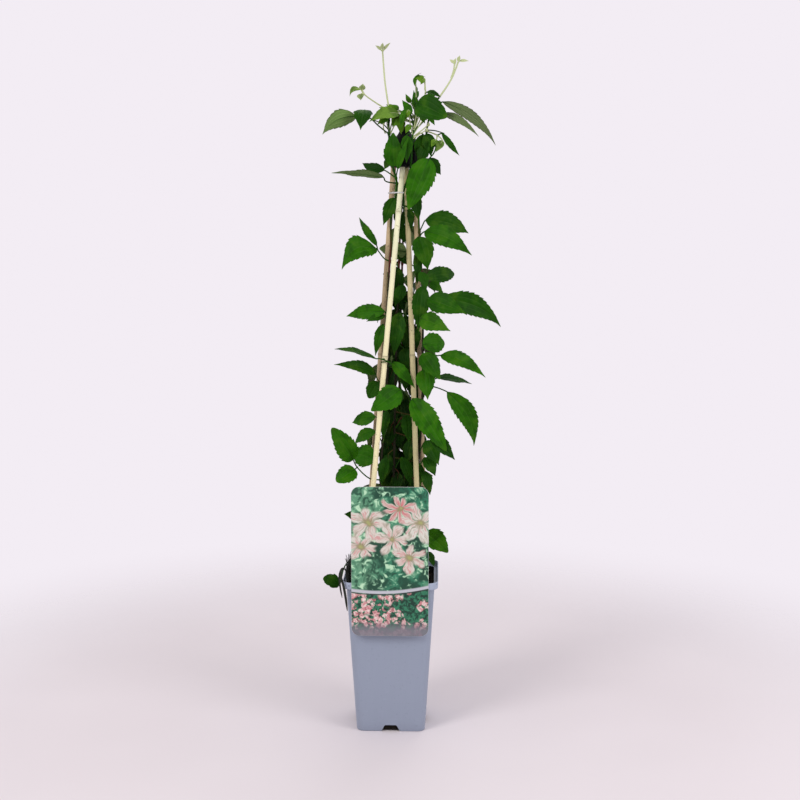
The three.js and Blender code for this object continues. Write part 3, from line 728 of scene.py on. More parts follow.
def bamboo(look):
    """Long pale fibres, brown at the knuckles, with brown patches of painted shade, and paler
    towards the top as painted light.
    """
    _, _, tint, shade = CANES[look.material.name.removesuffix("_skin")]
    tint = getattr(settings("cane"), tint)
    slow, _, specks = look.grain
    fibre = noise_at(stretch(look.place, 1900.0, 1900.0, 26.0), 1.0, 4.0, 0.65)
    brown = scaled(tint, 0.42)
    # Painted light: from 380 to 580 mm up the cane turns paler, to its palest at the top
    high = apart(look.place)[2].soft(0.38, 0.58)
    pale = mix(high, scaled(tint, 1.25), [min(1, value) for value in scaled(tint, 1.45)])
    base = paint(
        tint,
        (fibre.soft(0.3, 0.75).calc("MAXIMUM", high * 0.8), pale),
        # Painted shade: brown patches, as strong as the cane's share of shade
        (slow.soft(0.45, 0.8) * shade, brown),
        (fibre.soft(0.62, 0.72) * 0.35, brown),
        (look.tone * 0.8, brown),
        (specks * 0.5, brown),
    )
    return result(base, bump(fibre, 0.35, 0.0003), fibre.soft(0.2, 0.8, 0.36, 0.6))


for cane in CANES:
    finish(cane + "_skin", (28.0, 800.0, 260.0), Specular_IOR_Level=0.25)(bamboo)


@finish("black_plastic", (60.0, 1600.0, 700.0), Specular_IOR_Level=0.1)
def black_plastic(look):
    slow, quick, specks = look.grain
    base = mix(slow.soft(0.3, 0.8), (0.0015, 0.0015, 0.002), (0.004, 0.004, 0.005))
    base = mix(specks * 0.2, base, (0.05, 0.045, 0.04))
    return result(base, bump(quick, 0.2, 0.0002), quick.soft(0.3, 0.7, 0.32, 0.52))


@finish("clear_plastic", (90.0,), Specular_IOR_Level=0.6, Alpha=0.8)
def clear_plastic(look):
    slow, quick, _ = look.grain
    base = mix(slow, (0.78, 0.78, 0.76), (0.90, 0.90, 0.90))
    return result(base, bump(quick, 0.2, 0.0002), slow.soft(0.3, 0.7, 0.16, 0.32))


@finish("dried_plant", (220.0, 1800.0, 500.0), Roughness=0.85)
def dried_plant(look):
    """Dead roots and the withered strips at the rim."""
    slow, quick, _ = look.grain
    base = mix(slow, (0.006, 0.007, 0.005), (0.020, 0.022, 0.014))
    base = mix(look.tone.soft(0.5, 1.0), base, (0.30, 0.28, 0.24))
    return result(base, bump(quick, 0.6, 0.0004))


@finish("label_back", (25.0, 1200.0), Specular_IOR_Level=0.4)
def label_back(look):
    slow, quick, _ = look.grain
    base = mix(slow, (0.74, 0.74, 0.72), (0.84, 0.84, 0.83))
    return result(base, bump(quick, 0.15, 0.0001), quick.soft(0.3, 0.7, 0.38, 0.55))


@finish("floor_paper", Specular_IOR_Level=0.1)
def floor_paper(look):
    """Pale paper that fades out into the pale background."""
    across, behind, _ = apart(look.place)
    away = (across * across + behind * behind).calc("SQRT")
    mottle = noise_at(look.place, 3.0, 2.0)
    return {
        "Base Color": mix(mottle.soft(0.3, 0.7), (0.80, 0.735, 0.755), (0.83, 0.765, 0.785)),
        "Roughness": mottle.soft(0.3, 0.7, 0.85, 0.95),
        "Alpha": away.soft(0.34, 0.95, 1.0, 0.0),
    }


PRINTED_FLOWERS = (
    # across, height, radius, petals, turn, squash, pinkness
    (-33.0, 224.0, 22.0, 6.0, 0.10, 0.8, 0.35),
    (34.0, 252.0, 24.0, 6.0, 0.20, 1.0, 0.1),
    (22.0, 212.0, 23.0, 6.0, 0.55, 0.8, 0.4),
    (-25.0, 254.0, 27.0, 6.0, 0.30, 0.85, 0.25),
    (3.0, 234.0, 22.0, 6.0, 0.05, 1.0, 0.3),
    (12.0, 268.0, 22.0, 9.0, 0.85, 0.8, 1.0),
)
DRIFT = 10.0
DRIFT_MEAN = 5


def petals(reach, middle, streak, pink):
    rose, shade = (0.640, 0.180, 0.190), (0.240, 0.310, 0.200)
    bar = middle.soft(0.55, 1.0, 0.25, 1.0) * reach.soft(0.1, 0.95, pink, pink * 0.45)
    crease = middle.soft(0.1, 0.6, 1.0, 0.0) * reach.soft(0.3, 0.95, 0.6, 0.3)
    stamens = (reach + streak * 0.3).soft(0.26, 0.42, 0.85, 0.0)
    return paint(
        settings("label").petal,
        (streak.soft(0.36, 0.52), (0.760, 0.770, 0.680)),
        (bar, rose),
        (streak.soft(0.55, 0.63, 0.0, 0.5 + 0.4 * pink), rose),
        (streak.soft(0.30, 0.42, 0.6, 0.0), shade),
        (crease, shade),
        (stamens, (0.30, 0.26, 0.12)),
        (reach.soft(0.04, 0.12, 0.8, 0.0), (0.42, 0.44, 0.16)),
    )


def flower_bed(mm, across, fine):
    inputs = {"Vector": shaken(mm, 0.35, 2.0, 6.0), "Scale": 0.19, "Randomness": 0.9}
    small = add_node(mm.tree, "ShaderNodeTexVoronoi", inputs)
    cluster = noise_at(mm, 0.05, 1.0) + across.soft(-44.0, 44.0, 0.13, -0.09)
    bloom = paint(
        (0.600, 0.220, 0.240),
        (apart(small("Color"))[0], (0.830, 0.560, 0.540)),
        (fine.soft(0.50, 0.62, 0.0, 0.8), (0.860, 0.760, 0.700)),
        (fine.soft(0.36, 0.46, 0.8, 0.0), (0.330, 0.090, 0.100)),
    )
    return paint(
        (0.004, 0.040, 0.024),
        (fine.soft(0.40, 0.60), (0.030, 0.210, 0.110)),
        (fine.soft(0.62, 0.72, 0.0, 0.5), (0.250, 0.400, 0.200)),
        (small("Distance").soft(0.48, 0.66, 1.0, 0.0) * cluster.soft(0.48, 0.52), bloom),
    )


@finish("label_print", Specular_IOR_Level=0.4, Coat_Weight=0.12)
def label_print(look):
    """A made-up print, out of focus: pale blossoms over foliage, and small flowers below."""
    ground = settings("label").ground
    mm = stretch(look.place, 1 / MM, 1 / MM, 1 / MM)
    drawn = shaken(mm, 0.09, 1.5, DRIFT)
    across, _, height = apart(mm)
    deep = scaled(ground, 0.3)
    blur = noise_at(mm, 0.045, 1.0, 0.5, 0.3)
    leafy = noise_at(mm, 0.13, 2.0, 0.55, 0.8)
    left = across.soft(-44.0, 10.0, 0.30, 0.0) + blur
    base = paint(
        deep,
        (blur.soft(0.40, 0.58), ground),
        (left.soft(0.50, 0.78, 0.0, 0.7), (0.150, 0.360, 0.210)),
        (leafy.soft(0.50, 0.66, 0.0, 0.85), (0.330, 0.640, 0.400)),
        (leafy.soft(0.58, 0.68, 0.0, 0.9), (0.560, 0.830, 0.560)),
        (leafy.soft(0.36, 0.48, 0.85, 0.0), deep),
    )
    for flower_across, flower_height, radius, count, turn, squash, pink in PRINTED_FLOWERS:
        flower = use_group(look.tree, "printed_flower", {
            "Place": drawn, "Across": flower_across + DRIFT_MEAN,
            "Height": flower_height + DRIFT_MEAN, "Radius": radius, "Petals": count,
            "Turn": turn, "Squash": squash,
        })
        petal = petals(flower("Reach"), flower("Middle"), flower("Streak"), pink)
        base = mix(flower("Mask"), base, petal)
    fine = noise_at(mm, 0.26, 3.0, 0.6, 0.6)
    slope = height + across * -0.05 + across * across * -0.0022
    stripe = slope.soft(169.6, 170.6) * slope.soft(172.6, 174.6, 1.0, 0.0)
    line = slope.soft(168.0, 168.8) * slope.soft(169.6, 170.4, 0.8, 0.0)
    base = paint(
        base,
        (slope.soft(168.6, 169.6, 1.0, 0.0), flower_bed(mm, across, fine)),
        (stripe, (0.560, 0.560, 0.620)),
        (line, (0.020, 0.030, 0.030)),
        ((height + fine * 8.0).soft(130.0, 144.0, 0.92, 0.0), (0.200, 0.190, 0.225)),
    )
    return result(base, bump(fine, 0.05, 0.0001), fine.soft(0.3, 0.7, 0.3, 0.45))


CANE_FOOT = 110
CANE_TOP = 672
KNUCKLE_SPACING = 165
CANE_SIDES = 24
TIE_HEIGHT = 623.5
TIE_RADIUS = 4.04
CAP_SIDES = 64
CAP_RIBS = 16
CAP_RIB_HEIGHT = 0.22


def point_on_cane(name, height):
    low, high = (seen(place) for place in CANES[name][:2])
    return low.lerp(high, (height - low.z) / (high.z - low.z))


# Leaf blades

BLADE_OUTLINE = Curve([(t, width, 0) for t, width in (
    (0, 0.1), (0.08, 0.58), (0.22, 0.92), (0.36, 1), (0.52, 0.88),
    (0.68, 0.63), (0.82, 0.34), (0.92, 0.14), (1, 0.02),
)])
OUTLINE_TABLE = [BLADE_OUTLINE.at(i / 240) for i in range(241)]
SIDE_VEINS = (0, 0.42, 0.74, 1.05)
WIDE_COLUMNS = (0, 0.1, 0.21, 0.32, 0.42, 0.5, 0.58, 0.66, 0.74, 0.82, 0.9, 0.95, 1)
NARROW_COLUMNS = (0, 0.21, 0.42, 0.58, 0.74, 0.9, 1)
TOOTH_STEPS = ((0, 0, 0), (0.45, 0.08, 0.6), (0.82, 0.2, 1))
# The middle of the teeth, the first and last tooth along the blade, the length under which a
# blade has no teeth, and the width that the settings for quilting and waves are given for
TOOTH_MIDDLE = 0.4
TEETH_START, TEETH_END = 0.17, 0.87
SMALL_BLADE = 17
FULL_WIDTH = 26

UPPER, UNDER, STALK = 0, 1, 2
LEAF_FINISHES = ("leaf_upper", "leaf_under", "stem_skin")
LEAF_CREASE = 65


def outline_at(t, roundness=0.0):
    """Half width along the blade as a part of the widest: 0 is drawn out to the tip, 1 an oval."""
    t = clamp(t)
    drawn_out = OUTLINE_TABLE[-1].y
    for low, high in zip(OUTLINE_TABLE, OUTLINE_TABLE[1:]):
        if high.x >= t:
            drawn_out = low.y + (high.y - low.y) * (t - low.x) / max(1e-6, high.x - low.x)
            break
    oval = math.sqrt(max(0, 1 - abs(2 * t ** 0.9 - 1) ** 2.2))
    return drawn_out + (oval - drawn_out) * roundness


class Blade:
    """The middle surface of one leaf. turn 0 shows its upper face to the front, 180 its underside.

    A flipped leaf keeps its shape, and shows its underside where the others show their upper face.
    """

    def __init__(self, base, tip, width, turn=25, arch=0.09, bend=0.0, fold=0.16, roundness=0.0,
                 flipped=False):
        self.base, self.chord, self.width = base, tip - base, width
        self.length = self.chord.length
        self.arch, self.bend, self.fold = arch, bend, fold
        self.roundness, self.flipped = roundness, flipped
        along = self.chord.normalized()
        sight = (swung(VIEWPOINT, VIEW_TURN) - base).normalized()
        facing = (sight - along * sight.dot(along)).normalized()
        side = along.cross(facing)
        if side.z < 0:
            side.negate()
        angle = math.radians(turn)
        self.normal = facing * math.cos(angle) + side * math.sin(angle)
        self.across = along.cross(self.normal).normalized()
        self.bow_side = -1 if self.across.z < 0 else 1

    def at(self, t, reach, lift):
        bow = 4 * t * (1 - t) * self.length
        return (
            self.base + self.chord * t
            + self.normal * (self.arch * bow + lift)
            + self.across * (self.bow_side * self.bend * bow + reach)
        )


def blade_rows(length, tooth_spacing):
    """Places along a blade: (place, margin's place, how far out the tooth is)."""
    rows = [(t, t, TOOTH_MIDDLE) for t in (0, 0.02, 0.05, 0.09, 0.13)]
    toothed = TEETH_END - TEETH_START
    teeth = max(2, round(toothed * length / tooth_spacing))
    for tooth in range(teeth):
        for step, forward, out in TOOTH_STEPS:
            t = TEETH_START + toothed * (tooth + step) / teeth
            rows.append((t, t + toothed * forward / teeth, out))
    rows.extend((t, t, 0.0) for t in (TEETH_END, 0.91, 0.95, 0.98, 1.0))
    return rows


def quilt(blade, t, side, phase):
    """Height of the blade's surface between its veins, in millimetres."""
    leaf = settings("leaf")
    reach = abs(side)
    for low, high in zip(SIDE_VEINS, SIDE_VEINS[1:]):
        if reach <= high:
            bulge = math.sin(math.pi * (reach - low) / (high - low))
            break
    along = math.sin(math.pi * t) ** 0.5
    rungs = 0.7 + 0.3 * math.sin(math.tau * (t * blade.length / 6 - reach * 1.2) + phase)
    puff = leaf.quilting / MM * blade.width / FULL_WIDTH * bulge * rungs * along
    ripple = math.sin(math.tau * (t * 2.3 + phase) + (1.4 if side > 0 else 0))
    return puff + leaf.wave / MM * blade.width / FULL_WIDTH * reach ** 3 * ripple * along


def add_blade(piece, blade, tone, chance):
    leaf = settings("leaf")
    small = blade.length < SMALL_BLADE
    columns = NARROW_COLUMNS if small else WIDE_COLUMNS
    sides = [-s for s in reversed(columns)] + list(columns[1:])
    rows = blade_rows(blade.length, leaf.tooth_spacing / MM)
    phase = chance.draw() * math.tau
    half = leaf.thickness / MM / 2
    front, back = (UNDER, UPPER) if blade.flipped else (UPPER, UNDER)
    sheets = ([], [])
    places = []
    for t, margin_t, out in rows:
        reach, margin = (
            blade.width / 2 * outline_at(place, blade.roundness) for place in (t, margin_t)
        )
        margin *= 1 + leaf.tooth * (out - TOOTH_MIDDLE)
        for side in sides:
            edge = 0 if small else max(0, (abs(side) - 0.9) / 0.1)
            place = t + (margin_t - t) * edge
            spread = side * (reach + (margin - reach) * edge)
            lift = blade.fold * abs(spread) + quilt(blade, t, side, phase)
            thick = half * (1 - 0.5 * side ** 4)
            rib = math.exp(-(side / 0.09) ** 2) * (1 - t)
            sheets[0].append(blade.at(place, spread, lift + thick - 0.35 * rib))
            sheets[1].append(blade.at(place, spread, lift - thick - 0.45 * rib))
            places.append((0.5 + side / 2, t))
    width = len(sides)
    upper, under = (piece.add_points(sheet, places, tone) for sheet in sheets)
    for r in range(len(rows) - 1):
        left, right = r * width, r * width + width - 1
        for a in range(left, right):
            b, d, e = a + 1, a + width, a + width + 1
            piece.add_face((upper + a, upper + b, upper + e, upper + d), front)
            piece.add_face((under + a, under + d, under + e, under + b), back)
        a, b = left, left + width
        piece.add_face((upper + a, upper + b, under + b, under + a), UPPER)
        a, b = right, right + width
        piece.add_face((upper + a, under + a, under + b, upper + b), UPPER)
    last = (len(rows) - 1) * width
    for c in range(width - 1):
        a, b = last + c, last + c + 1
        piece.add_face((upper + c, under + c, under + c + 1, upper + c + 1), UNDER)
        piece.add_face((upper + a, upper + b, under + b, under + a), UPPER)


def add_stalk(piece, points, blade, tone):
    """A stalk that goes on under the blade as its thinning middle rib."""
    radius = settings("leaf").stalk_radius / MM
    rib = [blade.at(t, 0, -0.25 - 0.2 * t) for t in (0.06, 0.25, 0.5, 0.75)]
    stalk_end = len(points) / (len(points) + 4)

    def radius_at(t):
        if t < 0.03:
            return radius * 1.5
        if t < stalk_end:
            return radius * (1.15 - 0.15 * t / stalk_end)
        return radius * (1 - 0.85 * (t - stalk_end) / (1 - stalk_end))

    add_tube(piece, Curve([*points, blade.base, *rib]), radius_at, 8, 1.6, STALK, tone)


# The rows of leaves. A leaf has the two ends of its blade, its width, its tone from 0, dark,
# to 1, young, partly age and partly painted shade, with tones below 0 painted shade alone, and
# its stalk, which starts at a height on the stem or at a place on another stalk. Then comes what
# differs from a plain blade.

Vine = namedtuple("Vine", "name stem leaves inner sprays", defaults=((), (), ()))


class Leaf:
    def __init__(self, start, end, width, tone, stalk, **form):
        self.start, self.end, self.width, self.tone = start, end, width, tone
        self.stalk, self.form = stalk, form


# The rear stem's leaves are in threes: a height on the stem, and the middle leaflet's tip
REAR_SPRAYS = (
    (226, (38, 196, 60)), (240, (-26, 208, 58)), (290, (-34, 262, 68)), (310, (44, 282, 66)),
    (362, (-26, 330, 72)), (384, (46, 352, 64)), (436, (-24, 404, 70)), (462, (48, 432, 62)),
    (514, (-7, 480, 66)), (544, (50, 512, 58)), (600, (18, 560, 58)), (640, (22, 618, 56)),
    (690, (20, 668, 54)),
)
SPRAY_WIDTH = 24
SPRAY_TURN = 118
SPRAY_SEED = 37
SIDE_LEAVES = 26
SIDE_LEAVES_FOOT, SIDE_LEAVES_REACH = 205, 430
# Where the side leaves stop being shaded, and where the stem stops being woody and how far
# above that it is green
SHADED_BELOW = 400
WOODY_BELOW, GREEN_REACH = 500, 130
WRAP_HEIGHT = 433

VINE_LEFT = Vine(
    "vine_left",
    stem=(
        (-9, 140, 6), (-9, 174, 6), (-12, 230, 0), (-13, 288, -4), (-10, 345, 0),
        (-6, 400, -4), (-4, 428, -6), (-4, 480, 0), (-3, 530, 0), (-1, 560, -3), (0, 600, -6),
        (4.5, 618, -4), (6, 634, -4), (3, 648, -14), (-2, 662, -17), (-2.5, 680, -16.5),
        (-3, 700, -14), (-3, 718, -12),
    ),
    leaves=(
        Leaf((-62, 165, -8), (-81.5, 173, -10), 17, 0.15,
             (205, (-30, 203, -2), (-54, 190, -8), (-60, 172, -8)), roundness=0.8),
        Leaf((-45, 315, -16), (-70, 353, -44), 25, 0.5,
             (292, (-26, 293, -13), (-41, 307, -15)), turn=8, roundness=0.6),
        Leaf((-43, 304, -17), (-65, 289, -40), 21, 0.5,
             ((-40, 307, -15),), turn=10, arch=0.05, roundness=0.8),
        Leaf((-19, 316, -9), (-44, 323, 12), 27, 0.35, (300,), turn=5, roundness=0.5),
        Leaf((-19, 349, -6), (-43, 334, 16), 15, 0.3, (335,), bend=0.05),
        Leaf((-6, 318, -8), (-12, 285, -11), 14, 0.15, (305,)),
        Leaf((-5, 373, -7), (-10, 341, -10), 13, 0.15, (358,)),
        Leaf((-19, 366, -6), (-46, 359, 16), 17, 0.35, (358,), turn=18),
        Leaf((-15, 407, -9), (-27, 388, -4), 18, 0.2, (392,), turn=15, roundness=0.5),
        Leaf((-19, 417, -12), (-67, 427, -42), 15, 0.15,
             (404, (-13, 406, -8), (-17, 411, -11)), bend=0.03),
        Leaf((-18, 434, -23), (-66, 445, -48), 16, 0.15,
             (426, (0, 427, -17), (-5, 431, -25), (-14, 434, -25)),
             turn=66, bend=0.09, arch=0.02, fold=0.08),
        Leaf((-10, 474, -6), (-19, 437, -9), 12, 0.3, (455,), turn=10),
        Leaf((-8, 484, -6), (-29, 477, -9), 11, 0.2, (472,), turn=30),
        Leaf((-8, 488.5, -9), (-52, 483, 18), 18, 0.45, (478,), turn=14, bend=0.02),
        Leaf((2, 508, -8), (-3, 495, -6), 9, 0.2, (500,)),
        Leaf((-18, 561, -8), (-57, 537, -40), 28, 0.4, (546, (-8, 549, -3)), turn=8, bend=0.2),
        Leaf((-17, 564, -8), (-37, 596, 12), 10, 0.25, ((-16, 559, -7),), turn=28, bend=-0.07),
        Leaf((3, 618, -4), (-9.5, 587, -4), 15, 0.2, (604,), turn=6),
        Leaf((-9, 641, -15), (-68, 646, -40), 18, 0.3,
             (634, (-7, 637, -13)), turn=116, fold=0.1, arch=0.03),
        Leaf((-8, 649, -8), (-33, 657, 6), 13, 0.1, (640,), turn=20, bend=-0.1),
        Leaf((2, 653, -21), (2, 691, -22), 21, 0.3, (648,), turn=4, roundness=0.3),
        Leaf((7, 650, -27), (19, 686, -31), 9, 0.35, (640,), turn=35, bend=-0.05),
        Leaf((-40, 709, -16), (-78, 689, -40), 20, 0.6,
             (688, (-14, 698, -14), (-26, 708, -15)), turn=160, bend=0.11),
        Leaf((-30, 716, -17), (-35, 694, -36), 21, 0.15, ((-26, 708, -15),), turn=12, arch=0.15),
        Leaf((9, 712, -18), (-25, 703, -32), 16, 1.1, (706,), turn=32, bend=0.08),
        Leaf((8, 708, -13), (11, 689, -16), 12, 0.95, (711,)),
        Leaf((-4, 708, -20), (-12, 700, -22), 7, 0.6, (703,)),
        Leaf((-32.5, 738, -16), (-32, 745, -16), 8, 1.35, (714, (-19, 725, -15), (-31, 734, -16))),
        Leaf((-34.5, 734, -17), (-34.5, 727, -18), 8.5, 1.3, ((-31, 734, -16),)),
        Leaf((-35, 739, -15), (-47, 731, -14), 6.5, 1.15, ((-31, 734, -16),), bend=0.3),
        Leaf((-42, 247, -8), (-56, 250.5, -12), 11, 0.1, (232, (-28, 240, -2))),
    ),
    inner=(
        Leaf((-1, 661, -14), (-8, 650, -15), 10, 0.05, (664,)),
    ),
)
VINE_MIDDLE = Vine(
    "vine_middle",
    stem=(
        (1, 140, -3), (1, 174, -3), (2, 240, -2), (3, 325, 0), (5, 430, 4), (8, 520, 9),
        (9, 558, 11), (11, 600, 6), (14, 625, -3), (19, 642, -14), (22, 655, -21),
        (23, 672, -22), (24, 688, -21), (27, 704, -17), (30, 720, -12),
    ),
    leaves=(
        Leaf((12, 318, -4), (22, 284, -8), 14, 0.1, (304,)),
        Leaf((-3, 340, 8), (-8, 300, 14), 20, -0.28, (330,), turn=-10),
        Leaf((12, 366, 6), (8, 328, 10), 19, -0.28, (352,), turn=14),
        Leaf((-2, 402, 9), (-6, 364, 14), 18, -0.25, (388,), turn=-14),
        Leaf((14, 436, 8), (16, 396, 13), 19, -0.05, (424,), turn=10),
        Leaf((17, 484, 10), (19, 440, 14), 18, -0.05, (470,), turn=-8),
        Leaf((0, 528, 14), (-2, 492, 20), 15, -0.05, (516,), turn=12),
        Leaf((18, 368, -6), (20, 336, -9), 17, 0.15, (352,), turn=10),
        Leaf((10, 398, -24), (-24, 373, -42), 27, 0.5,
             (380, (13, 386, -12)), turn=0, fold=0.08, roundness=0.3),
        Leaf((1, 430, -8), (27, 400, -16), 14, 0.4, (420, (2, 428, -3)), turn=12),
        Leaf((9, 487, -4), (3, 438, -8), 20, 0.15, (474,), turn=8),
        Leaf((14, 519, 1), (4, 495, -1), 14, 0.15, (508,), turn=10),
        Leaf((17, 557, 5), (-14, 561, 14), 20, 0.3,
             (545, (15, 551, 8)), turn=178, arch=0.03, roundness=0.4),
        Leaf((36, 689, -13), (34, 654, -13), 18, 0.2, (678, (31, 690, -18)), turn=6),
        Leaf((15, 717, -22), (11, 693, -27), 7, 0.6, (700, (18, 712, -16))),
        Leaf((22, 711, -20), (12, 727, -20), 10, 0.5, (694,), turn=20),
        Leaf((26, 716, -8), (25, 738, -5), 8, 0.4, (704,)),
        Leaf((29, 724, -18), (63, 708, -38), 29, 0.2, (702, (27, 714, -19)), turn=8, roundness=0.5),
        Leaf((37, 748, -14), (27, 751, -18), 9, 1, (713, (38, 733, -15)), arch=0.2),
        Leaf((29, 740, -16), (34, 757, -16), 3, 0.6, ((28, 728, -17),), bend=0.32),
        Leaf((40, 736, -14), (56, 730, -16), 9, 0.05, ((38, 734, -15),), turn=50),
        Leaf((42, 709, -16), (49, 699, -16), 6, 0.5, (690, (35, 702, -17))),
    ),
    inner=(
        Leaf((4, 716, -16), (-6, 722, -10), 7, 0.9, (705,), turn=30),
        Leaf((19, 716, -22), (14, 703, -26), 9, 0.9, (706,), turn=20),
        Leaf((22, 724, -15), (16, 734, -18), 6, 0.7, (712,), turn=-20),
        Leaf((12, 706, -20), (2, 698, -24), 8, 0.85, (699,), turn=18),
        Leaf((26, 728, -14), (31, 737, -10), 6, 0.3, (716,), turn=10),
        Leaf((-2, 712, -14), (-12, 704, -18), 8, 0.9, (700,), turn=30),
        Leaf((21, 700, -24), (16, 690, -26), 7, 0.8, (694,), turn=12),
        Leaf((33, 710, -18), (38, 701, -20), 6, 0.7, (702,), turn=12),
        Leaf((10, 560, 12), (22, 540, 14), 16, 0.05, (566,), turn=10),
        Leaf((6, 606, 6), (12, 578, 8), 13, 0.05, (612,), turn=12),
        Leaf((4, 540, 10), (10, 506, 12), 16, 0.03, (548,), turn=6),
        Leaf((-1, 713, -16), (-14, 719, -14), 7, 1, (705,), turn=24),
        Leaf((-4, 708, -18), (-16, 700, -20), 8, 0.95, (700,), turn=20),
        Leaf((17, 688, -26), (17, 657, -30), 13, 0.2, (690,), turn=8),
        Leaf((8, 590, 8), (16, 566, 10), 14, 0.1, (596,), turn=10),
        Leaf((2, 470, 8), (-6, 446, 6), 14, 0, (476,), turn=10),
        Leaf((24, 470, 0), (30, 446, -2), 14, -0.08, (476,), turn=14),
        Leaf((14, 446, 2), (20, 420, 0), 15, 0.05, (452,), turn=-10),
        Leaf((-2, 396, 4), (-10, 372, 2), 15, -0.25, (402,), turn=12),
        Leaf((26, 366, -2), (31, 338, -4), 16, -0.15, (372,), turn=-10),
        Leaf((0, 356, 4), (-6, 328, 4), 16, -0.28, (362,), turn=10),
        Leaf((24, 340, 0), (18, 310, -2), 15, -0.2, (348,), turn=10),
        Leaf((-4, 322, 2), (-8, 292, 0), 14, -0.15, (328,), turn=-8),
        Leaf((28, 312, 0), (34, 284, 0), 15, -0.12, (318,), turn=10),
        Leaf((8, 300, 0), (4, 274, 0), 14, -0.3, (306,), turn=6),
        Leaf((27.5, 744, -16), (38.5, 752.5, -16), 4, 0.8, ((28, 730, -17),), bend=0.42),
        Leaf((37.5, 751, -15), (33, 744, -15), 6, 1.15, ((38, 738, -15),)),
        Leaf((6, 711, -17), (1, 697, -20), 8, 0.85, (699,), turn=12),
        Leaf((8, 716, -16), (1, 722, -14), 6, 0.7, (706,), turn=20),
        Leaf((20, 607, -2), (22, 580, -4), 9, 0.05, (610,)),
    ),
)
VINE_RIGHT = Vine(
    "vine_right",
    stem=(
        (14, 140, 2), (14, 174, 2), (22, 240, 0), (30, 300, 2), (34, 350, 2), (36, 400, 0),
        (36, 440, -2), (36, 500, -6), (33, 560, -9), (31, 600, -9), (33, 640, -8),
        (38, 668, -6), (41, 700, -8), (48, 722, -10), (54, 730, -10),
    ),
    leaves=(
        Leaf((39.5, 228, -9), (66.5, 204, -36), 26, 0.6, (222,), turn=15, roundness=0.4),
        Leaf((42, 205, -8), (50, 187, -10), 10, 0.15, (204,)),
        Leaf((37, 302, -10), (45, 273, -14), 14, 0.1, (290,)),
        Leaf((39, 318, -12), (51, 296, -16), 17, 0.15, (304,)),
        Leaf((40, 338, -14), (55, 309, -18), 21, 0.15, (324,), turn=15),
        Leaf((24, 387, -23), (64, 325, -46), 27, 0.4,
             (378, (32, 386, -14)), turn=6, bend=0, roundness=0.35),
        Leaf((37, 421, -21), (42, 386, -34), 22, 0.35, (408,), turn=8),
        Leaf((65, 395, -16), (96, 332, 12), 23, 0.35, (402, (50, 401, -12)), turn=8, bend=0.1),
        Leaf((54, 411.5, -14), (93, 404.5, 24), 15, 0.1,
             (407, (46, 409, -9)), turn=58, bend=0, arch=0.04),
        Leaf((57, 438, -16), (109, 412, -44), 18, 0.5, (430, (48, 436, -12)), turn=15, bend=0.07),
        Leaf((36, 440, -20), (56, 410, -38), 22, 0.25, (428,), turn=8, roundness=0.3),
        Leaf((36, 450, -15), (61, 453, 8), 24, 0.45, (445,), turn=12, roundness=0.5),
        Leaf((33, 481, -27), (68, 466, -50), 22, 0.6, (476, (33, 481, -18)), turn=10),
        Leaf((42, 503, -23), (86, 486, -46), 25, 0.25, (490, (38, 498, -16)), turn=12),
        Leaf((55, 502, -15), (126, 471, 14), 26, 0.2, (496, (46, 500, -12)), turn=10, bend=0.105),
        Leaf((36, 518, -15), (31, 465, -17), 20, 0.15, (506,), turn=6),
        Leaf((44, 522, -10), (59, 510, -13), 12, 0.2, (513,)),
        Leaf((40, 528, -11), (72, 532, 24), 19, 0.15, (520,), turn=12, roundness=0.5),
        Leaf((33, 534, -22), (40, 513, -26), 13, 0.2, (528,)),
        Leaf((28, 556, -13), (29, 518, -16), 11, 0.1, (546,)),
        Leaf((30.5, 574, -15), (41.5, 536, -19), 24, 0.25, (565,), turn=6, bend=0.04),
        Leaf((38, 580, -20), (92, 553, -48), 24, 0.35, (572, (34, 577, -15)), turn=12, bend=0.06),
        Leaf((39, 593, -14), (88, 578, 10), 25, 0.2, (579, (35, 586, -11)), turn=14, bend=0.055),
        Leaf((25, 624, -14), (31, 592, -14), 14, 0.05, (610,), turn=8),
        Leaf((42, 662, -14), (56, 644, -4), 14, 0.1, (648,), turn=14),
        Leaf((43, 662, -26), (19, 605, -32), 30, 0.45,
             (686, (50, 678, -18), (48, 668, -24)), turn=4, arch=0.05, roundness=0.25),
        Leaf((58, 682, -16), (50, 669, -20), 9, 1.15, (692, (52, 688, -11)), turn=10),
        Leaf((51, 683, -18), (45, 675, -26), 8, 1.05, ((52, 688, -11),)),
        Leaf((57, 690, -12), (77, 665.5, 6), 7.5, 0.25, ((52, 688, -11),), turn=20, bend=-0.04),
        Leaf((57, 712.3, -17), (99, 686.5, -44), 9, 0.15,
             (707, (50, 712, -13)), turn=20, bend=0.045, flipped=True),
        Leaf((58, 725, -12), (118, 677, 14), 13, 0.1, (718,), turn=18, bend=0.07, flipped=True),
    ),
    inner=(
        Leaf((40, 690, -14), (45, 664, -16), 15, 0.08, (690,), turn=10),
        Leaf((38, 676, -16), (30, 655, -20), 14, 0.1, (672,), turn=-8),
        Leaf((46, 345, -40), (74, 315, -42), 17, 0.1, (350,), turn=10),
    ),
)
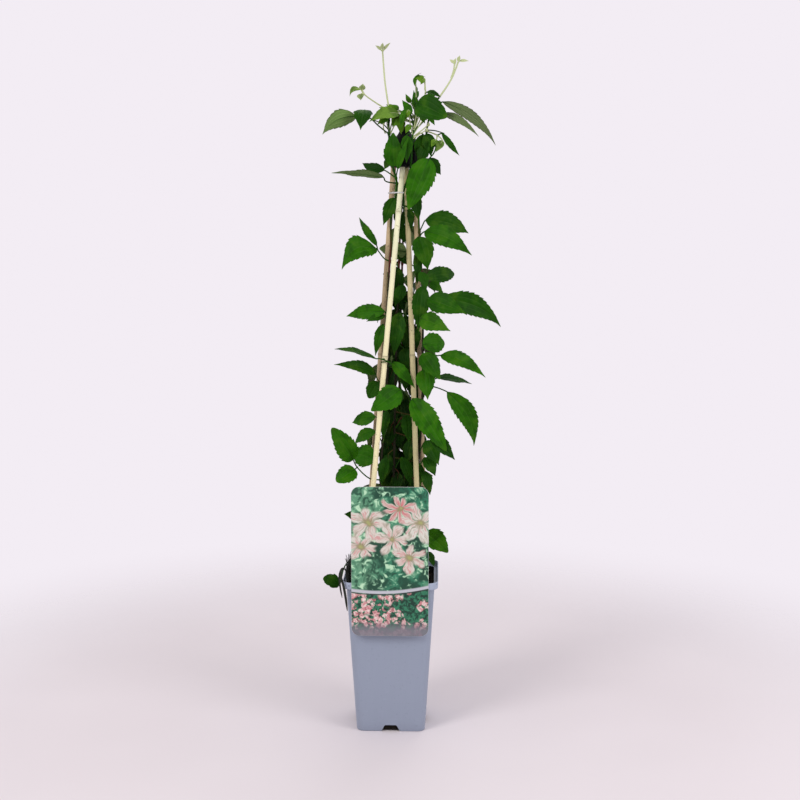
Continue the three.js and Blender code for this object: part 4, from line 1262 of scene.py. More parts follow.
VINE_REAR = Vine(
    "vine_rear",
    stem=(
        (6, 140, 12), (6, 174, 12), (6, 188, 13), (7, 230, 26), (8, 300, 32), (9, 400, 28),
        (11, 500, 23), (14, 600, 19), (15, 645, 20.5), (15, 672, 21.5), (14, 700, 18),
        (12, 714, 14),
    ),
    # Leaves deep in the column between the canes: their tones below 0 are painted shade
    inner=(
        Leaf((2, 520, 22), (8, 486, 24), 20, -0.35, (527,), turn=8),
        Leaf((16, 512, 20), (28, 478, 22), 22, -0.3, (519,), turn=-12),
        Leaf((6, 492, 24), (2, 452, 26), 24, -0.33, (499,), turn=18),
        Leaf((14, 478, 22), (30, 440, 22), 24, -0.27, (485,), turn=-6),
        Leaf((4, 458, 26), (-4, 420, 26), 24, -0.35, (465,), turn=14),
        Leaf((12, 452, 24), (14, 414, 26), 24, -0.32, (459,), turn=8),
        Leaf((20, 440, 18), (32, 402, 20), 22, -0.35, (447,), turn=-12),
        Leaf((2, 424, 26), (-6, 388, 26), 22, -0.3, (431,), turn=18),
        Leaf((8, 398, 26), (12, 360, 26), 30, -0.33, (405,), turn=-6),
        Leaf((4, 384, 22), (-8, 350, 24), 22, -0.27, (391,), turn=14),
        Leaf((16, 386, 22), (28, 350, 22), 24, -0.35, (393,), turn=8),
        Leaf((6, 362, 26), (2, 322, 26), 28, -0.32, (369,), turn=-12),
        Leaf((14, 350, 24), (24, 312, 24), 24, -0.35, (357,), turn=18),
        Leaf((0, 336, 24), (-10, 300, 24), 24, -0.3, (343,), turn=-6),
        Leaf((8, 326, 26), (10, 284, 26), 28, -0.33, (333,), turn=14),
        Leaf((18, 322, 22), (30, 286, 22), 22, -0.27, (329,), turn=8),
        Leaf((2, 302, 24), (-8, 268, 24), 22, -0.35, (309,), turn=-12),
        Leaf((20, 470, 16), (36, 436, 18), 20, -0.32, (477,), turn=18),
        Leaf((24, 414, 18), (36, 376, 18), 20, -0.35, (421,), turn=-6),
        Leaf((24, 352, 16), (38, 320, 18), 20, -0.3, (359,), turn=14),
        Leaf((14, 304, 20), (16, 262, 22), 26, -0.35, (308,), turn=8),
        Leaf((26, 292, 16), (32, 256, 18), 22, -0.3, (298,), turn=-8),
        Leaf((4, 288, 22), (-2, 252, 22), 24, -0.35, (294,), turn=10),
    ),
    sprays=REAR_SPRAYS,
)
VINES = (VINE_LEFT, VINE_MIDDLE, VINE_RIGHT, VINE_REAR)

# Bare stalks, as (places, tone): pale ones that fan out at the top, and dark ones
BARE_STALKS = (
    (((24, 688, -20), (31, 702, -17), (37, 714, -15)), 1.0),
    (((24, 688, -20), (33, 701, -18), (41, 712, -16)), 1.0),
    (((24, 689, -21), (29, 703, -19), (33, 716, -18)), 0.95),
    (((24, 689, -21), (27, 704, -20), (29, 716, -20)), 0.95),
    (((24, 689, -22), (21, 702, -21), (20, 714, -20)), 0.9),
    (((24, 686, -21), (35, 694, -20), (42, 700, -19)), 0.9),
    (((24, 684, -21), (33, 690, -20), (40, 694, -19)), 0.9),
    (((-7, 690, -13), (-9, 696, -15), (-9, 702, -16)), 0.9),
    (((0, 690, -12), (-9, 700, -13), (-20, 705, -14)), 0.35),
    (((-2, 690, -15), (0, 700, -16), (5, 712, -17)), 0.75),
    (((-2, 688, -15), (3, 698, -17), (9, 708, -18)), 0.8),
    (((-3, 694, -15), (-5, 702, -16), (-2, 712, -17)), 0.75),
    (((38, 694, -8), (50, 693, -9), (60, 690, -11)), 0.35),
)
BUDS = ((42, 700, -19), (40, 694, -19), (-9, 702, -16), (37, 714, -15), (20, 714, -20))


def stem_tone(height):
    """Woody and brown below, wine-coloured where it is half grown, and green at the top."""
    grown = clamp((height - WOODY_BELOW) / GREEN_REACH)
    return grown * grown * (3 - 2 * grown) * 0.45


def add_stem(piece, vine, curve):
    radius = settings("leaf").stem_radius / MM
    nodes = [one.stalk[0] for one in vine.leaves if not isinstance(one.stalk[0], tuple)]
    nodes += [row[0] for row in vine.sprays]

    def radius_at(t):
        height = curve.at(t).z
        swell = max((math.exp(-((height - node) / 1.8) ** 2) for node in nodes), default=0)
        return radius * (1.08 - 0.3 * clamp((height - 174) / 540) + 0.5 * swell)

    add_tube(piece, curve, radius_at, 10, 1.5, STALK, lambda point: stem_tone(point.z))


def add_spray(piece, curve, row, chance):
    height, tip = row
    root = curve.at_height(height)
    end = seen(tip)
    joint = root.lerp(end, 0.42)
    joint.z += 9
    turn = SPRAY_TURN + 24 * (chance.draw() - 0.5)
    blades = [Blade(joint.lerp(end, 0.18), end, SPRAY_WIDTH + 5, turn, 0.1)]
    for side in (-1, 1):
        spread = swung(end - joint, side * (0.95 + 0.35 * chance.draw())) * 0.74
        spread.z -= 6 + 8 * chance.draw()
        width = SPRAY_WIDTH * (0.85 + 0.3 * chance.draw())
        blades.append(Blade(joint + spread * 0.12, joint + spread, width, turn, 0.1))
    stalk = Curve([root, root.lerp(joint, 0.5) + UP * 1.5, joint])
    add_tube(piece, stalk, lambda t: 0.85, 8, 1.6, STALK, 0.45)
    looks = Chance(int(height))
    for blade in blades:
        tone = looks.spread(0.1, 0.45)
        add_stalk(piece, [joint], blade, 0.5)
        add_blade(piece, blade, tone, looks)


def add_side_leaves(piece, curve, chance):
    """Leaves between the rear stem and the canes that turn their faces to the sides."""
    for i in range(SIDE_LEAVES):
        rise = SIDE_LEAVES_REACH * i / (SIDE_LEAVES - 1)
        height = SIDE_LEAVES_FOOT + rise + chance.spread(-6, 6)
        across = chance.spread(-10, 26) if i % 2 else chance.spread(-16, 34)
        depth = (42, 8, 54, 20)[i % 4] + chance.spread(-5, 5)
        reach = chance.spread(24, 36) * (1 if i % 4 in (0, 2) else -0.6)
        start = seen((across, height, depth))
        tip_across = across + chance.spread(-5, 5)
        end = seen((tip_across, height - chance.spread(8, 24), min(depth + reach, 70)))
        blade = Blade(start, end, chance.spread(17, 25), 90 if i % 3 else -90, 0.1)
        add_stalk(piece, [curve.at_height(height + 4)], blade, 0.45)
        shaded = 0.3 if height < SHADED_BELOW else 0
        add_blade(piece, blade, chance.spread(0.05, 0.45) - shaded, chance)


def add_cane_wrap(piece):
    """The stalk that winds once round the front left cane."""
    middle = point_on_cane("cane_front_left", WRAP_HEIGHT)
    along = (point_on_cane("cane_front_left", WRAP_HEIGHT + 27) - middle).normalized()
    turns = []
    for i in range(19):
        ring, _ = ring_round(middle + along * (i * 0.28 - 2.5), along, 3.9, 12)
        turns.append(ring[i % 12])
    add_tube(piece, Curve(turns), lambda t: 0.6, 8, 1.0, STALK, 0.5)


def add_bare_stalks(piece, chance):
    for places, tone in BARE_STALKS:
        add_tube(piece, seen_curve(places), lambda t: 0.75 - 0.2 * t, 8, 1.5, STALK, tone)
    for place in BUDS:
        middle = seen(place)
        profile = [(0.2, -2.2), (1.2, -1.5), (1.7, -0.3), (1.5, 0.9), (0.8, 1.9), (0.15, 2.4)]
        rings = turned(middle, [(r, middle.z + h) for r, h in profile], 10,
                       lambda angle, height: 0.12 * math.sin(5 * angle))
        piece.add_rings(rings, STALK, 0.85 + 0.1 * chance.draw())


def make_vine(vine):
    piece = Piece(vine.name + "_leafy", *LEAF_FINISHES)
    curve = seen_curve(vine.stem)
    add_stem(piece, vine, curve)
    looks = Chance(len(vine.name) * 131)
    for one in (*vine.leaves, *vine.inner):
        first, *bends = one.stalk
        root = seen(first) if isinstance(first, tuple) else curve.at_height(first)
        blade = Blade(seen(one.start), seen(one.end), one.width, **one.form)
        add_stalk(piece, [root, *(seen(bend) for bend in bends)], blade, 0.35 + 0.5 * one.tone)
        add_blade(piece, blade, one.tone, looks)
    chance = Chance(SPRAY_SEED)
    for row in vine.sprays:
        add_spray(piece, curve, row, chance)
    if vine.sprays:
        add_side_leaves(piece, curve, chance)
    if vine is VINE_LEFT:
        add_cane_wrap(piece)
    if vine is VINE_MIDDLE:
        add_bare_stalks(piece, looks)
    hand_over(piece.make(angle=LEAF_CREASE), vine.name)


def make_vines():
    for vine in VINES:
        make_vine(vine)


# Young shoots: name, seed, the stem that each one ends, its own stems, and its leaves

SHOOTS = (
    ("shoot_left", 53, VINE_LEFT, (((-7, 745, -12), (-9, 768, -12), (-10, 783, -12)),), (
        ((-11.5, 782, -12), (-18, 787, -12), 3.6),
        ((-10, 783, -12), (-9.5, 790, -12), 4.6),
        ((-8.5, 782, -12), (-1, 790, -12), 3.6),
    )),
    ("shoot_right", 55, VINE_RIGHT, (
        ((62.5, 742, -10), (69, 753, -10), (76, 771, -10)),
        ((67.3, 751, -10), (70.2, 760, -10), (71.2, 768, -10)),
    ), (
        ((69.8, 768, -10), (65.5, 771.5, -10), 3.6),
        ((71.3, 766.5, -10), (72.3, 773, -10), 4),
        ((75.5, 769.5, -10), (77, 776, -10), 4.6),
        ((77.0, 770, -10), (87, 770, -10), 3.5),
    )),
)


def add_hairs(piece, curve, count, chance):
    """Fine pale hairs that stand off a young stem."""
    for _ in range(count):
        t = chance.draw()
        along = curve.tangent(t)
        ring, _ = ring_round(curve.at(t), along, 0.6, 16)
        root = ring[int(chance.draw() * 16)]
        out = (root - curve.at(t)).normalized() + along * chance.spread(-0.2, 0.6)
        end = root + out * chance.spread(0.5, 1.1)
        foot, _ = ring_round(root, out.normalized(), 0.07, 3)
        tip, _ = ring_round(end, out.normalized(), 0.015, 3)
        piece.add_rings([foot, tip], 0, 1.0)


def make_shoot(name, seed, vine, stems, leaves):
    piece = Piece(name + "_soft", *["shoot_skin"] * len(LEAF_FINISHES))
    parent = seen_curve(vine.stem)
    start = parent.at(1) + parent.tangent(0.999) * 0.5
    chance = Chance(seed)
    for i, places in enumerate(stems):
        path = [seen(place) for place in places]
        curve = Curve(path if i else [start, *path])
        add_tube(piece, curve, lambda t: 1.0 - 0.15 * t, 10, 1.2, 0, 0.8)
        add_hairs(piece, curve, round(curve.length() * 3), chance)
    for from_place, to_place, width in leaves:
        foot, tip = seen(from_place), seen(to_place)
        blade = Blade(foot, tip, width, fold=0.3)
        add_stalk(piece, [foot.lerp(tip, -0.15)], blade, 0.8)
        add_blade(piece, blade, 1.0, chance)
    hand_over(piece.make(angle=LEAF_CREASE), name)


def make_shoots():
    for shoot in SHOOTS:
        make_shoot(*shoot)


# Pot and soil

POT_HEIGHT = 182
POT_BASE = 80
POT_SHOULDER = 101.4
POT_RIM = 110
SHOULDER_HEIGHT = 173.8
POT_CORNER = 9
RIM_CORNER = 12
POT_FLOOR = 1.8
POT_CREASE = 32
POT_FINISHES = ("pot_outside", "pot_inside")
SOIL_HEIGHT = 168
SOIL_FIBRES = 90
SOIL_SEED = 91


def pot_width(height):
    return POT_BASE + (POT_SHOULDER - POT_BASE) * height / SHOULDER_HEIGHT


def cut_openings(pot):
    """Takes the four drain slots and the four drain holes out of the pot."""
    cutter = Piece("pot_cutter", *POT_FINISHES)
    slot = ((-11.2, -1), (11.2, -1), (7.6, 6.4), (6.4, 7.6), (-6.4, 7.6), (-7.6, 6.4))
    for side in range(4):
        cutter.add_rings([
            [swung((x, y, z), side * math.pi / 2) for x, z in slot]
            for y in (-POT_BASE / 2 + 9, -POT_BASE / 2 - 9)
        ], 1)
        hole = swung((24, 0, 0), (side + 0.5) * math.pi / 2)
        cutter.add_rings(turned(hole, [(4, -3), (4, 5)], 24), 1)
    tool = cutter.make(smooth=False)
    cut = pot.modifiers.new("openings", "BOOLEAN")
    cut.operation = "DIFFERENCE"
    cut.solver = "EXACT"
    cut.object = tool
    shape = pot.evaluated_get(bpy.context.evaluated_depsgraph_get())
    mesh = bpy.data.meshes.new_from_object(shape)
    pot.modifiers.clear()
    pot.data = mesh
    bpy.data.objects.remove(tool)
    mesh.set_sharp_from_angle(angle=math.radians(POT_CREASE))


def make_pot():
    wall = settings("pot").wall / MM
    piece = Piece("square_pot", *POT_FINISHES)
    outside = [(POT_BASE - 2.4, 7.8, 0), (POT_BASE - 0.9, 8.6, 0.25), (POT_BASE, POT_CORNER, 1.1)]
    steps = 14
    for step in range(1, steps + 1):
        height = 1.1 + (SHOULDER_HEIGHT - 1.7) * step / steps
        outside.append((pot_width(height), POT_CORNER, height))
    outside += [
        (POT_SHOULDER + 0.5, POT_CORNER + 0.3, SHOULDER_HEIGHT - 0.2),
        (POT_SHOULDER + 1.2, POT_CORNER + 0.6, SHOULDER_HEIGHT),
        (POT_RIM - 1.6, RIM_CORNER - 0.4, SHOULDER_HEIGHT),
        (POT_RIM - 0.9, RIM_CORNER, SHOULDER_HEIGHT + 0.3),
        (POT_RIM - 0.7, RIM_CORNER, SHOULDER_HEIGHT + 1),
        (POT_RIM, RIM_CORNER, POT_HEIGHT - 0.7),
        (POT_RIM - 0.3, RIM_CORNER, POT_HEIGHT - 0.2),
        (POT_RIM - 0.9, RIM_CORNER - 0.4, POT_HEIGHT),
        (POT_RIM - 2 * wall + 0.8, RIM_CORNER - wall + 0.3, POT_HEIGHT),
        (POT_RIM - 2 * wall + 0.2, RIM_CORNER - wall, POT_HEIGHT - 0.25),
    ]
    ledge = SHOULDER_HEIGHT + wall
    ledge_edge = (pot_width(ledge) - 2 * wall + 0.8, POT_CORNER - wall, ledge)
    inside = [
        (POT_RIM - 2 * wall, RIM_CORNER - wall, POT_HEIGHT - 0.8),
        (POT_RIM - 2 * wall - 0.7, RIM_CORNER - wall, ledge + 0.6),
        (POT_RIM - 2 * wall - 1.6, RIM_CORNER - wall - 0.4, ledge),
        ledge_edge,
        (pot_width(ledge) - 2 * wall, POT_CORNER - wall, ledge - 0.8),
        (pot_width(90) - 2 * wall, POT_CORNER - wall, 90),
        (pot_width(POT_FLOOR) - 2 * wall, POT_CORNER - wall, POT_FLOOR),
    ]
    rings = [rounded_square(width, corner, height) for width, corner, height in outside + inside]
    piece.add_rings(rings)
    # From the inner ledge down, the wall takes the nearly black inside finish, which is painted
    # shade
    painted_shade_from = (len(outside) + inside.index(ledge_edge)) * len(rings[0])
    piece.face_finish = [int(i >= painted_shade_from) for i in range(len(piece.faces))]
    piece.face_finish[-2:] = [0, 1]
    pot = piece.make(angle=POT_CREASE)
    cut_openings(pot)
    hand_over(pot, "pot")


def lump_height(x, y):
    """How far the top of the soil lies above its edge, in millimetres."""
    away = min(1, math.hypot(x, y) / 50)
    rough = noise.fractal(Vector((x, y, 0)) * 0.11, 0.6, 2.1, 4)
    fine = noise.noise(Vector((x, y, 7)) * 0.45)
    return 3 * (1 - away * away) + 1.4 * rough + 0.8 * fine


CRUMB_CORNERS = [Vector(corner).normalized() for corner in (
    (-1, 0, 1.618), (1, 0, 1.618), (-1, 0, -1.618), (1, 0, -1.618), (0, 1.618, 1), (0, 1.618, -1),
    (0, -1.618, 1), (0, -1.618, -1), (1.618, 1, 0), (-1.618, 1, 0), (1.618, -1, 0), (-1.618, -1, 0),
)]
CRUMB_FACES = (
    (0, 1, 4), (0, 4, 9), (9, 4, 5), (4, 8, 5), (4, 1, 8), (8, 1, 10), (8, 10, 3), (5, 8, 3),
    (5, 3, 2), (2, 3, 7), (7, 3, 10), (7, 10, 6), (7, 6, 11), (11, 6, 0), (0, 6, 1), (6, 10, 1),
    (9, 11, 0), (9, 2, 11), (9, 5, 2), (7, 11, 2),
)


def add_crumb(piece, middle, size, chance, tone):
    stretch_by = Vector([chance.spread(0.6, 1.4) for _ in range(3)])
    points = []
    for corner in CRUMB_CORNERS:
        reach = size * chance.spread(0.75, 1.25)
        points.append(middle + Vector([c * s * reach for c, s in zip(corner, stretch_by)]))
    start = piece.add_points(points, tone=tone)
    for face in CRUMB_FACES:
        piece.add_face(tuple(start + i for i in face))


def add_fibre(piece, reach, chance):
    x, y = chance.spread(-reach, reach), chance.spread(-reach, reach)
    turn = chance.spread(0, math.tau)
    half = chance.spread(2, 6)
    fibre = []
    for part in (-1, -0.3, 0.4, 1):
        px = clamp(x + part * half * math.cos(turn) + chance.spread(-0.8, 0.8), -reach, reach)
        py = clamp(y + part * half * math.sin(turn) + chance.spread(-0.8, 0.8), -reach, reach)
        fibre.append(Vector((px, py, SOIL_HEIGHT + lump_height(px, py) + 0.4)))
    add_tube(piece, Curve(fibre), lambda t: 0.28, 5, 1.5, 0, 1.0)


def make_soil():
    pot = settings("pot")
    wall = pot.wall / MM
    piece = Piece("compost", "compost")
    corner = POT_CORNER - wall - 0.3
    sides = (2.1, 60, 120, SOIL_HEIGHT - 2)
    rings = [rounded_square(pot_width(z) - 2 * wall - 0.6, corner, z) for z in sides]
    width = pot_width(SOIL_HEIGHT) - 2 * wall - 0.6
    circles = 40
    for circle in range(circles):
        inward = 1 - circle / circles
        ring = rounded_square(width * inward, corner * inward, SOIL_HEIGHT)
        for point in ring:
            point.z += lump_height(point.x, point.y) * min(1, circle / 3)
        rings.append(ring)
    piece.add_rings(rings)
    chance = Chance(SOIL_SEED)
    reach = width / 2 - 3
    for _ in range(pot.crumbs):
        x, y = chance.spread(-reach, reach), chance.spread(-reach, reach)
        size = 0.5 + 1.6 * chance.draw() ** 3
        middle = Vector((x, y, SOIL_HEIGHT + lump_height(x, y) + size * 0.2))
        add_crumb(piece, middle, size, chance, chance.draw())
    for _ in range(SOIL_FIBRES):
        add_fibre(piece, reach, chance)
    hand_over(piece.make(angle=50), "soil")


# Withered strips over the pot's left rim: half width, and the places along the strip
RIM_STRIPS = (
    (1.0, ((-52, 170, -40), (-55.5, 183.6, -43), (-59, 184.5, -45), (-62, 178, -48),
           (-61.5, 164, -50), (-59, 149, -51))),
    (1.5, ((-52, 170, -44), (-55.5, 183.6, -46), (-59, 183.8, -49), (-60.5, 176, -52),
           (-57.5, 164, -53), (-55, 150, -53), (-53, 133, -52.5))),
)
RIM_ROOTS = 210
ROOT_SEED = 17


def add_root(piece, chance):
    across = chance.spread(-53, -44)
    depth = chance.spread(-48, -20)
    top = 176 + (31 - 2.4 * abs(across + 48)) * chance.draw()
    lean = chance.spread(-6, 2.5) * chance.draw()
    swing = chance.spread(-3, 3)
    path = seen_curve((
        (across, 167, depth),
        (across + lean * 0.2 - swing * 0.4, (167 + top) / 2, depth + swing),
        (max(across + lean, -57), top, depth + swing * 1.6),
    ))
    thickness = chance.spread(0.22, 0.55)
    tone = 0.6 * chance.draw() ** 4
    add_tube(piece, path, lambda t: thickness * (1.1 - t * 0.7), 5, 2.5, 0, tone)


def make_rim_growth():
    """A tangle of dry roots on the left rim, and two withered strips that hang from it."""
    piece = Piece("dry_roots", "dried_plant")
    chance = Chance(ROOT_SEED)
    for _ in range(RIM_ROOTS):
        add_root(piece, chance)
    for width, places in RIM_STRIPS:
        path = seen_curve(places)
        steps = 26
        rings = []
        for i in range(steps + 1):
            t = i / steps
            middle = path.at(t)
            along = path.tangent(t)
            out = Vector((-0.4, -1, 0))
            out -= along * out.dot(along)
            out.normalize()
            side = along.cross(out)
            half = width * min(1, 0.45 + 1.6 * t, 8 * (1.04 - t))
            curl = 0.35 * math.sin(9 * t + half)
            rings.append([
                middle + side * half + out * curl, middle + out * 0.35,
                middle - side * half - out * curl, middle - out * 0.1,
            ])
        piece.add_rings(rings, 0, 0.1)
    hand_over(piece.make(angle=50))


# Canes, cap and tie

def make_cane(name):
    cane = settings("cane")
    radius, knuckle_radius = cane.radius / MM, cane.knuckle / MM
    foot, top = point_on_cane(name, CANE_FOOT), point_on_cane(name, CANE_TOP)
    reach = (top - foot).length
    along = (top - foot).normalized()
    chance = Chance(sum(map(ord, name)))
    piece = Piece(name + "_bamboo", name + "_skin")
    knuckles = [k * KNUCKLE_SPACING for k in range(1, int((reach - 30) / KNUCKLE_SPACING) + 1)]
    # Places along the cane, with the radius and the tone there
    profile = [(0, radius - 0.4, 1.0), (0.4, radius, 0.6)]
    place = 6.0
    while place < reach - 2:
        if all(abs(place - k) > 7 for k in knuckles):
            profile.append((place, radius * (1 + chance.spread(-0.025, 0.025)), 0.0))
        place += 8
    swell = knuckle_radius - radius
    for k in knuckles:
        profile += [
            (k - 6, radius, 0.0), (k - 3, radius + swell * 0.3, 0.1),
            (k - 1.2, radius + swell * 0.85, 0.35), (k - 0.3, knuckle_radius, 0.7),
            (k, knuckle_radius - 0.25, 1.0), (k + 0.35, knuckle_radius, 0.7),
            (k + 1.0, radius + swell * 0.5, 0.3), (k + 2.4, radius + 0.05, 0.1),
            (k + 5, radius, 0.0),
        ]
    profile += [(reach - 0.4, radius, 0.4), (reach, radius - 0.4, 0.8)]
    profile.sort()
    rings, tones = [], []
    upper = None
    for place, size, tone in profile:
        ring, upper = ring_round(foot + along * place, along, size, CANE_SIDES, upper)
        for i, point in enumerate(ring):
            flat = 0.06 * math.sin(3 * math.tau * i / CANE_SIDES + place * 0.004)
            ring[i] = point + (point - foot - along * place).normalized() * flat
        rings.append(ring)
        tones.extend([tone] * len(ring))
    piece.add_rings(rings, 0, tones)
    hand_over(piece.make(angle=50), name)


def make_canes():
    for name in CANES:
        make_cane(name)


def make_cane_cap():
    """The black piece that holds the tops of the canes: a ribbed cup that narrows to a knob."""
    low, high = (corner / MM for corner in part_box("cane_cap"))
    middle = (low + high) / 2
    height = high.z - low.z
    radius = (high.x - low.x) / 2
    knob = radius * 0.3
    profile = [
        (0.5, 0), (radius - 3, 0), (radius - 1.6, 0.1), (radius - 0.6, 0.5), (radius - 0.1, 1.4),
        (radius, 2.4), (radius - 0.5, 3.0), (radius - 0.5, height * 0.42), (radius, height * 0.43),
        (radius, height * 0.47), (radius - 0.4, height * 0.49), (radius * 0.93, height * 0.54),
        (radius * 0.86, height * 0.6), (radius * 0.77, height * 0.67),
        (radius * 0.6, height * 0.75), (radius * 0.46, height * 0.81),
        (knob * 1.3, height * 0.86), (knob * 1.08, height * 0.9),
        (knob * 1.16, height * 0.94), (knob * 1.05, height * 0.97), (knob * 0.7, height * 0.99),
        (knob * 0.2, height),
    ]

    def rib(angle, z):
        ribbed = height * 0.08 < z - low.z < height * 0.4 + 0.1 * height
        return CAP_RIB_HEIGHT * math.cos(CAP_RIBS * angle) if ribbed else 0

    fine = []
    for (r0, h0), (r1, h1) in zip(profile, profile[1:]):
        parts = max(1, round(abs(h1 - h0) / 2.5))
        for i in range(parts):
            fine.append((r0 + (r1 - r0) * i / parts, low.z + h0 + (h1 - h0) * i / parts))
    fine.append((profile[-1][0], low.z + profile[-1][1]))
    piece = Piece("cane_cap_black", "black_plastic")
    piece.add_rings(turned(middle, fine, CAP_SIDES, rib))
    hand_over(piece.make(angle=40), "cane_cap")


def make_cane_tie():
    """A thin clear loop round the two left canes."""
    front = point_on_cane("cane_front_left", TIE_HEIGHT)
    rear = point_on_cane("cane_rear_left", TIE_HEIGHT)
    away = (rear - front).normalized()
    side = away.cross(UP).normalized()
    route = []
    for middle, start in ((rear, -math.pi / 2), (front, math.pi / 2)):
        for i in range(13):
            angle = start + math.pi * i / 12
            out = away * TIE_RADIUS * math.cos(angle)
            route.append(middle + out + side * TIE_RADIUS * math.sin(angle))
    rings = []
    count = len(route)
    for i, point in enumerate(route):
        along = (route[(i + 1) % count] - route[i - 1]).normalized()
        out = along.cross(UP).normalized()
        angles = [math.tau * step / 10 for step in range(10)]
        rings.append([point + out * 0.48 * math.cos(a) + UP * 0.78 * math.sin(a) for a in angles])
    piece = Piece("cane_tie_clear", "clear_plastic")
    piece.add_rings([*rings, rings[0]], ends=False)
    knot = front.lerp(rear, 0.5) - side * (TIE_RADIUS + 0.3)
    tail = Curve([
        knot, knot - side * 1.2 - away * 1.5 + UP * 1.2, knot - side * 1.8 - away * 3.2 + UP * 0.4
    ])
    add_tube(piece, tail, lambda t: 0.5 - 0.1 * t, 8, 0.6)
    hand_over(piece.make(angle=60), "cane_tie")


# Plant label

LABEL_WIDTH = 88
LABEL_LOW = 120.4
LABEL_HIGH = 293.9
LABEL_BACK = -55.3
LABEL_THICKNESS = 0.8
LABEL_BEVEL = 0.12
HOOK_WIDTH = 34
HOOK_INNER = -53.1
HOOK_DROP = 6


def card_outline(inset):
    """(across, height) round the card, anticlockwise as seen from the front."""
    corner = settings("label").corner / MM
    half = LABEL_WIDTH / 2
    points = []
    for turn, across, height in (
        (0, half - corner, LABEL_HIGH - corner), (1, corner - half, LABEL_HIGH - corner),
        (2, corner - half, LABEL_LOW + corner), (3, half - corner, LABEL_LOW + corner),
    ):
        for step in range(11):
            angle = (turn + step / 10) * math.pi / 2
            reach = corner - inset
            points.append((across + reach * math.cos(angle), height + reach * math.sin(angle)))
    return points


def make_plant_label():
    piece = Piece("label_card", "label_print", "label_back")
    front = LABEL_BACK - LABEL_THICKNESS
    piece.add_rings([
        [Vector((x, y, z)) for x, z in card_outline(inset)] for inset, y in (
            (LABEL_BEVEL, front), (0, front + LABEL_BEVEL),
            (0, LABEL_BACK - LABEL_BEVEL), (LABEL_BEVEL, LABEL_BACK),
        )
    ], 1)
    piece.face_finish[-2] = 0
    top, foot = POT_HEIGHT + 0.3, POT_HEIGHT - HOOK_DROP
    section = [
        (LABEL_BACK - 0.1, top + 0.8), (HOOK_INNER + 0.3, top + 0.8),
        (HOOK_INNER + 0.68, top + 0.62), (HOOK_INNER + 0.8, top + 0.3),
        (HOOK_INNER + 0.8, foot + 0.3), (HOOK_INNER + 0.5, foot), (HOOK_INNER, foot + 0.3),
        (HOOK_INNER, top), (LABEL_BACK - 0.1, top),
    ]
    piece.add_rings([
        [Vector((x, y, z)) for y, z in section] for x in (-HOOK_WIDTH / 2, 0, HOOK_WIDTH / 2)
    ], 1)
    hand_over(piece.make(angle=40), "plant_label")


# Stage

FLOOR_DROP = -0.2
FLOOR_RADII = (4000, 2400, 1600, 900, 400, 100, 0.01)
LIGHT_AIM = Vector((0, 0, 0.35))
SOFTBOXES = {
    # place, size, power, tint
    "key_left": ((-1.25, -1.35, 1.55), 0.9, 17, (1.0, 0.985, 0.97)),
    "fill_right": ((1.45, -1.0, 1.05), 1.1, 12, (0.985, 0.985, 1.0)),
    "top_back": ((0.2, 1.0, 1.9), 1.2, 6, (1.0, 1.0, 1.0)),
}


def add_softbox(name, place, size, power, tint):
    light = bpy.data.lights.new(name, "AREA")
    light.shape = "DISK"
    light.size = size
    light.energy = power
    light.color = tint
    lamp = bpy.data.objects.new(name, light)
    lamp.location = place
    lamp.rotation_euler = (LIGHT_AIM - Vector(place)).to_track_quat("-Z", "Y").to_euler()
    bpy.context.scene.collection.objects.link(lamp)


def make_stage():
    scene = bpy.context.scene
    scene.view_settings.view_transform = "Standard"
    world = bpy.data.worlds.new("studio")
    world.use_nodes = True
    sky = world.node_tree.nodes["Background"]
    seen_by_eye = add_node(world.node_tree, "ShaderNodeLightPath")("Is Camera Ray")
    tint = mix(seen_by_eye, (0.56, 0.54, 0.57), (0.896, 0.845, 0.905))
    world.node_tree.links.new(tint.socket, sky.inputs["Color"])
    scene.world = world
    paper = Piece("floor_paper", "floor_paper")
    profile = [(radius, FLOOR_DROP) for radius in FLOOR_RADII]
    paper.add_rings(turned(Vector((0, 0, 0)), profile, 96), ends=False)
    floor = paper.make()
    for name, softbox in SOFTBOXES.items():
        add_softbox(name, *softbox)
    camera = bpy.data.cameras.new("eye")
    camera.lens = VIEW_LENS
    camera.sensor_width = 36
    camera.sensor_fit = "HORIZONTAL"
    eye = bpy.data.objects.new("eye", camera)
    eye.location = swung(VIEWPOINT, VIEW_TURN) * MM
    eye.rotation_euler = (math.pi / 2 - VIEW_TILT, 0, VIEW_TURN)
    scene.collection.objects.link(eye)
    scene.camera = eye


# Operators

class Builder:
    """What the operators share: each calls its functions in turn."""
    steps = ()

    def execute(self, context):
        for build in self.steps:
            build()
        return {"FINISHED"}


class CLEMATIS_OT_pot(Builder, Operator):
    """Build the square pot with its rim, drain slots and drain holes"""
    bl_idname = "clematis.pot"
    bl_label = "Pot"
    steps = (make_pot,)


class CLEMATIS_OT_soil(Builder, Operator):
    """Build the soil in the pot, with the dry roots on the rim"""
    bl_idname = "clematis.soil"
    bl_label = "Soil"
    steps = (make_soil, make_rim_growth)


class CLEMATIS_OT_canes(Builder, Operator):
    """Build the four bamboo canes"""
    bl_idname = "clematis.canes"
    bl_label = "Canes"
    steps = (make_canes,)


class CLEMATIS_OT_cane_fittings(Builder, Operator):
    """Build the cap and the tie that hold the canes together"""
    bl_idname = "clematis.cane_fittings"
    bl_label = "Cane cap and tie"
    steps = (make_cane_cap, make_cane_tie)


class CLEMATIS_OT_plant_label(Builder, Operator):
    """Build the plant label that hangs on the rim"""
    bl_idname = "clematis.plant_label"
    bl_label = "Plant label"
    steps = (make_plant_label,)


class CLEMATIS_OT_leafy_stems(Builder, Operator):
    """Build the four climbing stems with their leaves"""
    bl_idname = "clematis.leafy_stems"
    bl_label = "Leafy stems"
    steps = (make_vines,)


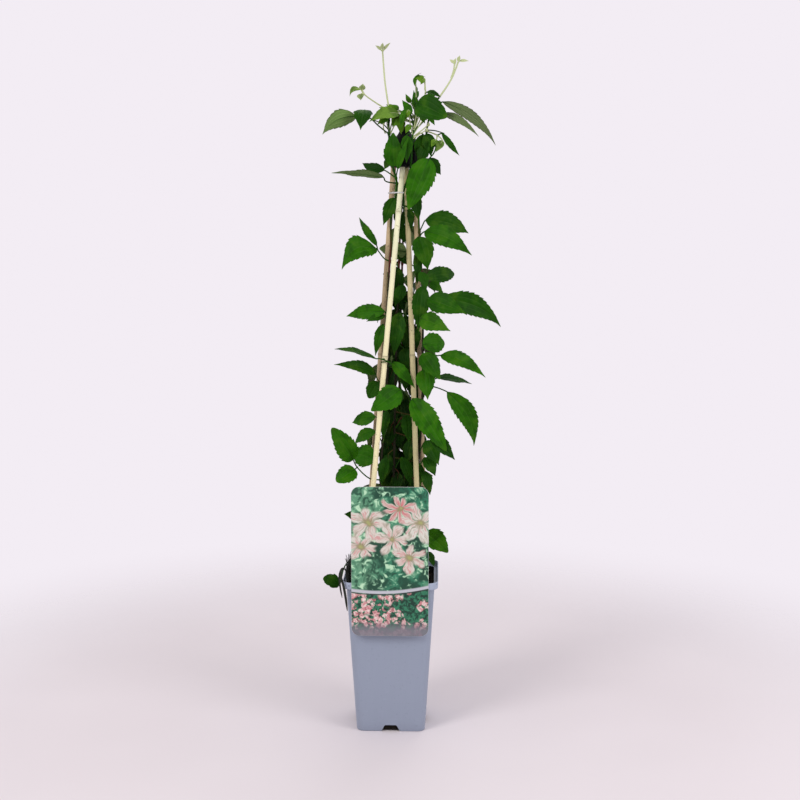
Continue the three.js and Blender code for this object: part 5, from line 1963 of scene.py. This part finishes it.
class CLEMATIS_OT_young_shoots(Builder, Operator):
    """Build the two pale young shoots"""
    bl_idname = "clematis.young_shoots"
    bl_label = "Young shoots"
    steps = (make_shoots,)


class CLEMATIS_OT_stage(Builder, Operator):
    """Set up the floor, the light and the camera"""
    bl_idname = "clematis.stage"
    bl_label = "Stage"
    steps = (make_stage,)


OPERATORS = (
    CLEMATIS_OT_pot,
    CLEMATIS_OT_soil,
    CLEMATIS_OT_canes,
    CLEMATIS_OT_cane_fittings,
    CLEMATIS_OT_plant_label,
    CLEMATIS_OT_leafy_stems,
    CLEMATIS_OT_young_shoots,
    CLEMATIS_OT_stage,
)
SETTINGS = {
    "clematis_leaf": ClematisLeafSettings,
    "clematis_pot": ClematisPotSettings,
    "clematis_cane": ClematisCaneSettings,
    "clematis_label": ClematisLabelSettings,
}


class VIEW3D_PT_clematis(Panel):
    """Settings and operators of the potted clematis"""
    bl_label = "Potted clematis"
    bl_space_type = "VIEW_3D"
    bl_region_type = "UI"
    bl_category = "Clematis"

    def draw(self, context):
        column = self.layout.column(align=True)
        for name in SETTINGS:
            group = getattr(context.scene, name)
            for prop in group.bl_rna.properties:
                if prop.identifier not in {"rna_type", "name"}:
                    column.prop(group, prop.identifier)
        for operator in OPERATORS:
            column.operator(operator.bl_idname)


def register():
    for group in SETTINGS.values():
        bpy.utils.register_class(group)
    for operator in OPERATORS:
        bpy.utils.register_class(operator)
    bpy.utils.register_class(VIEW3D_PT_clematis)
    for name, group in SETTINGS.items():
        setattr(bpy.types.Scene, name, PointerProperty(type=group))


def unregister():
    for name in SETTINGS:
        delattr(bpy.types.Scene, name)
    bpy.utils.unregister_class(VIEW3D_PT_clematis)
    for operator in reversed(OPERATORS):
        bpy.utils.unregister_class(operator)
    for group in reversed(SETTINGS.values()):
        bpy.utils.unregister_class(group)


def main():
    register()
    bpy.ops.clematis.pot()
    bpy.ops.clematis.soil()
    bpy.ops.clematis.canes()
    bpy.ops.clematis.cane_fittings()
    bpy.ops.clematis.plant_label()
    bpy.ops.clematis.leafy_stems()
    bpy.ops.clematis.young_shoots()
    bpy.ops.clematis.stage()
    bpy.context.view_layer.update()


if __name__ == "__main__":
    main()
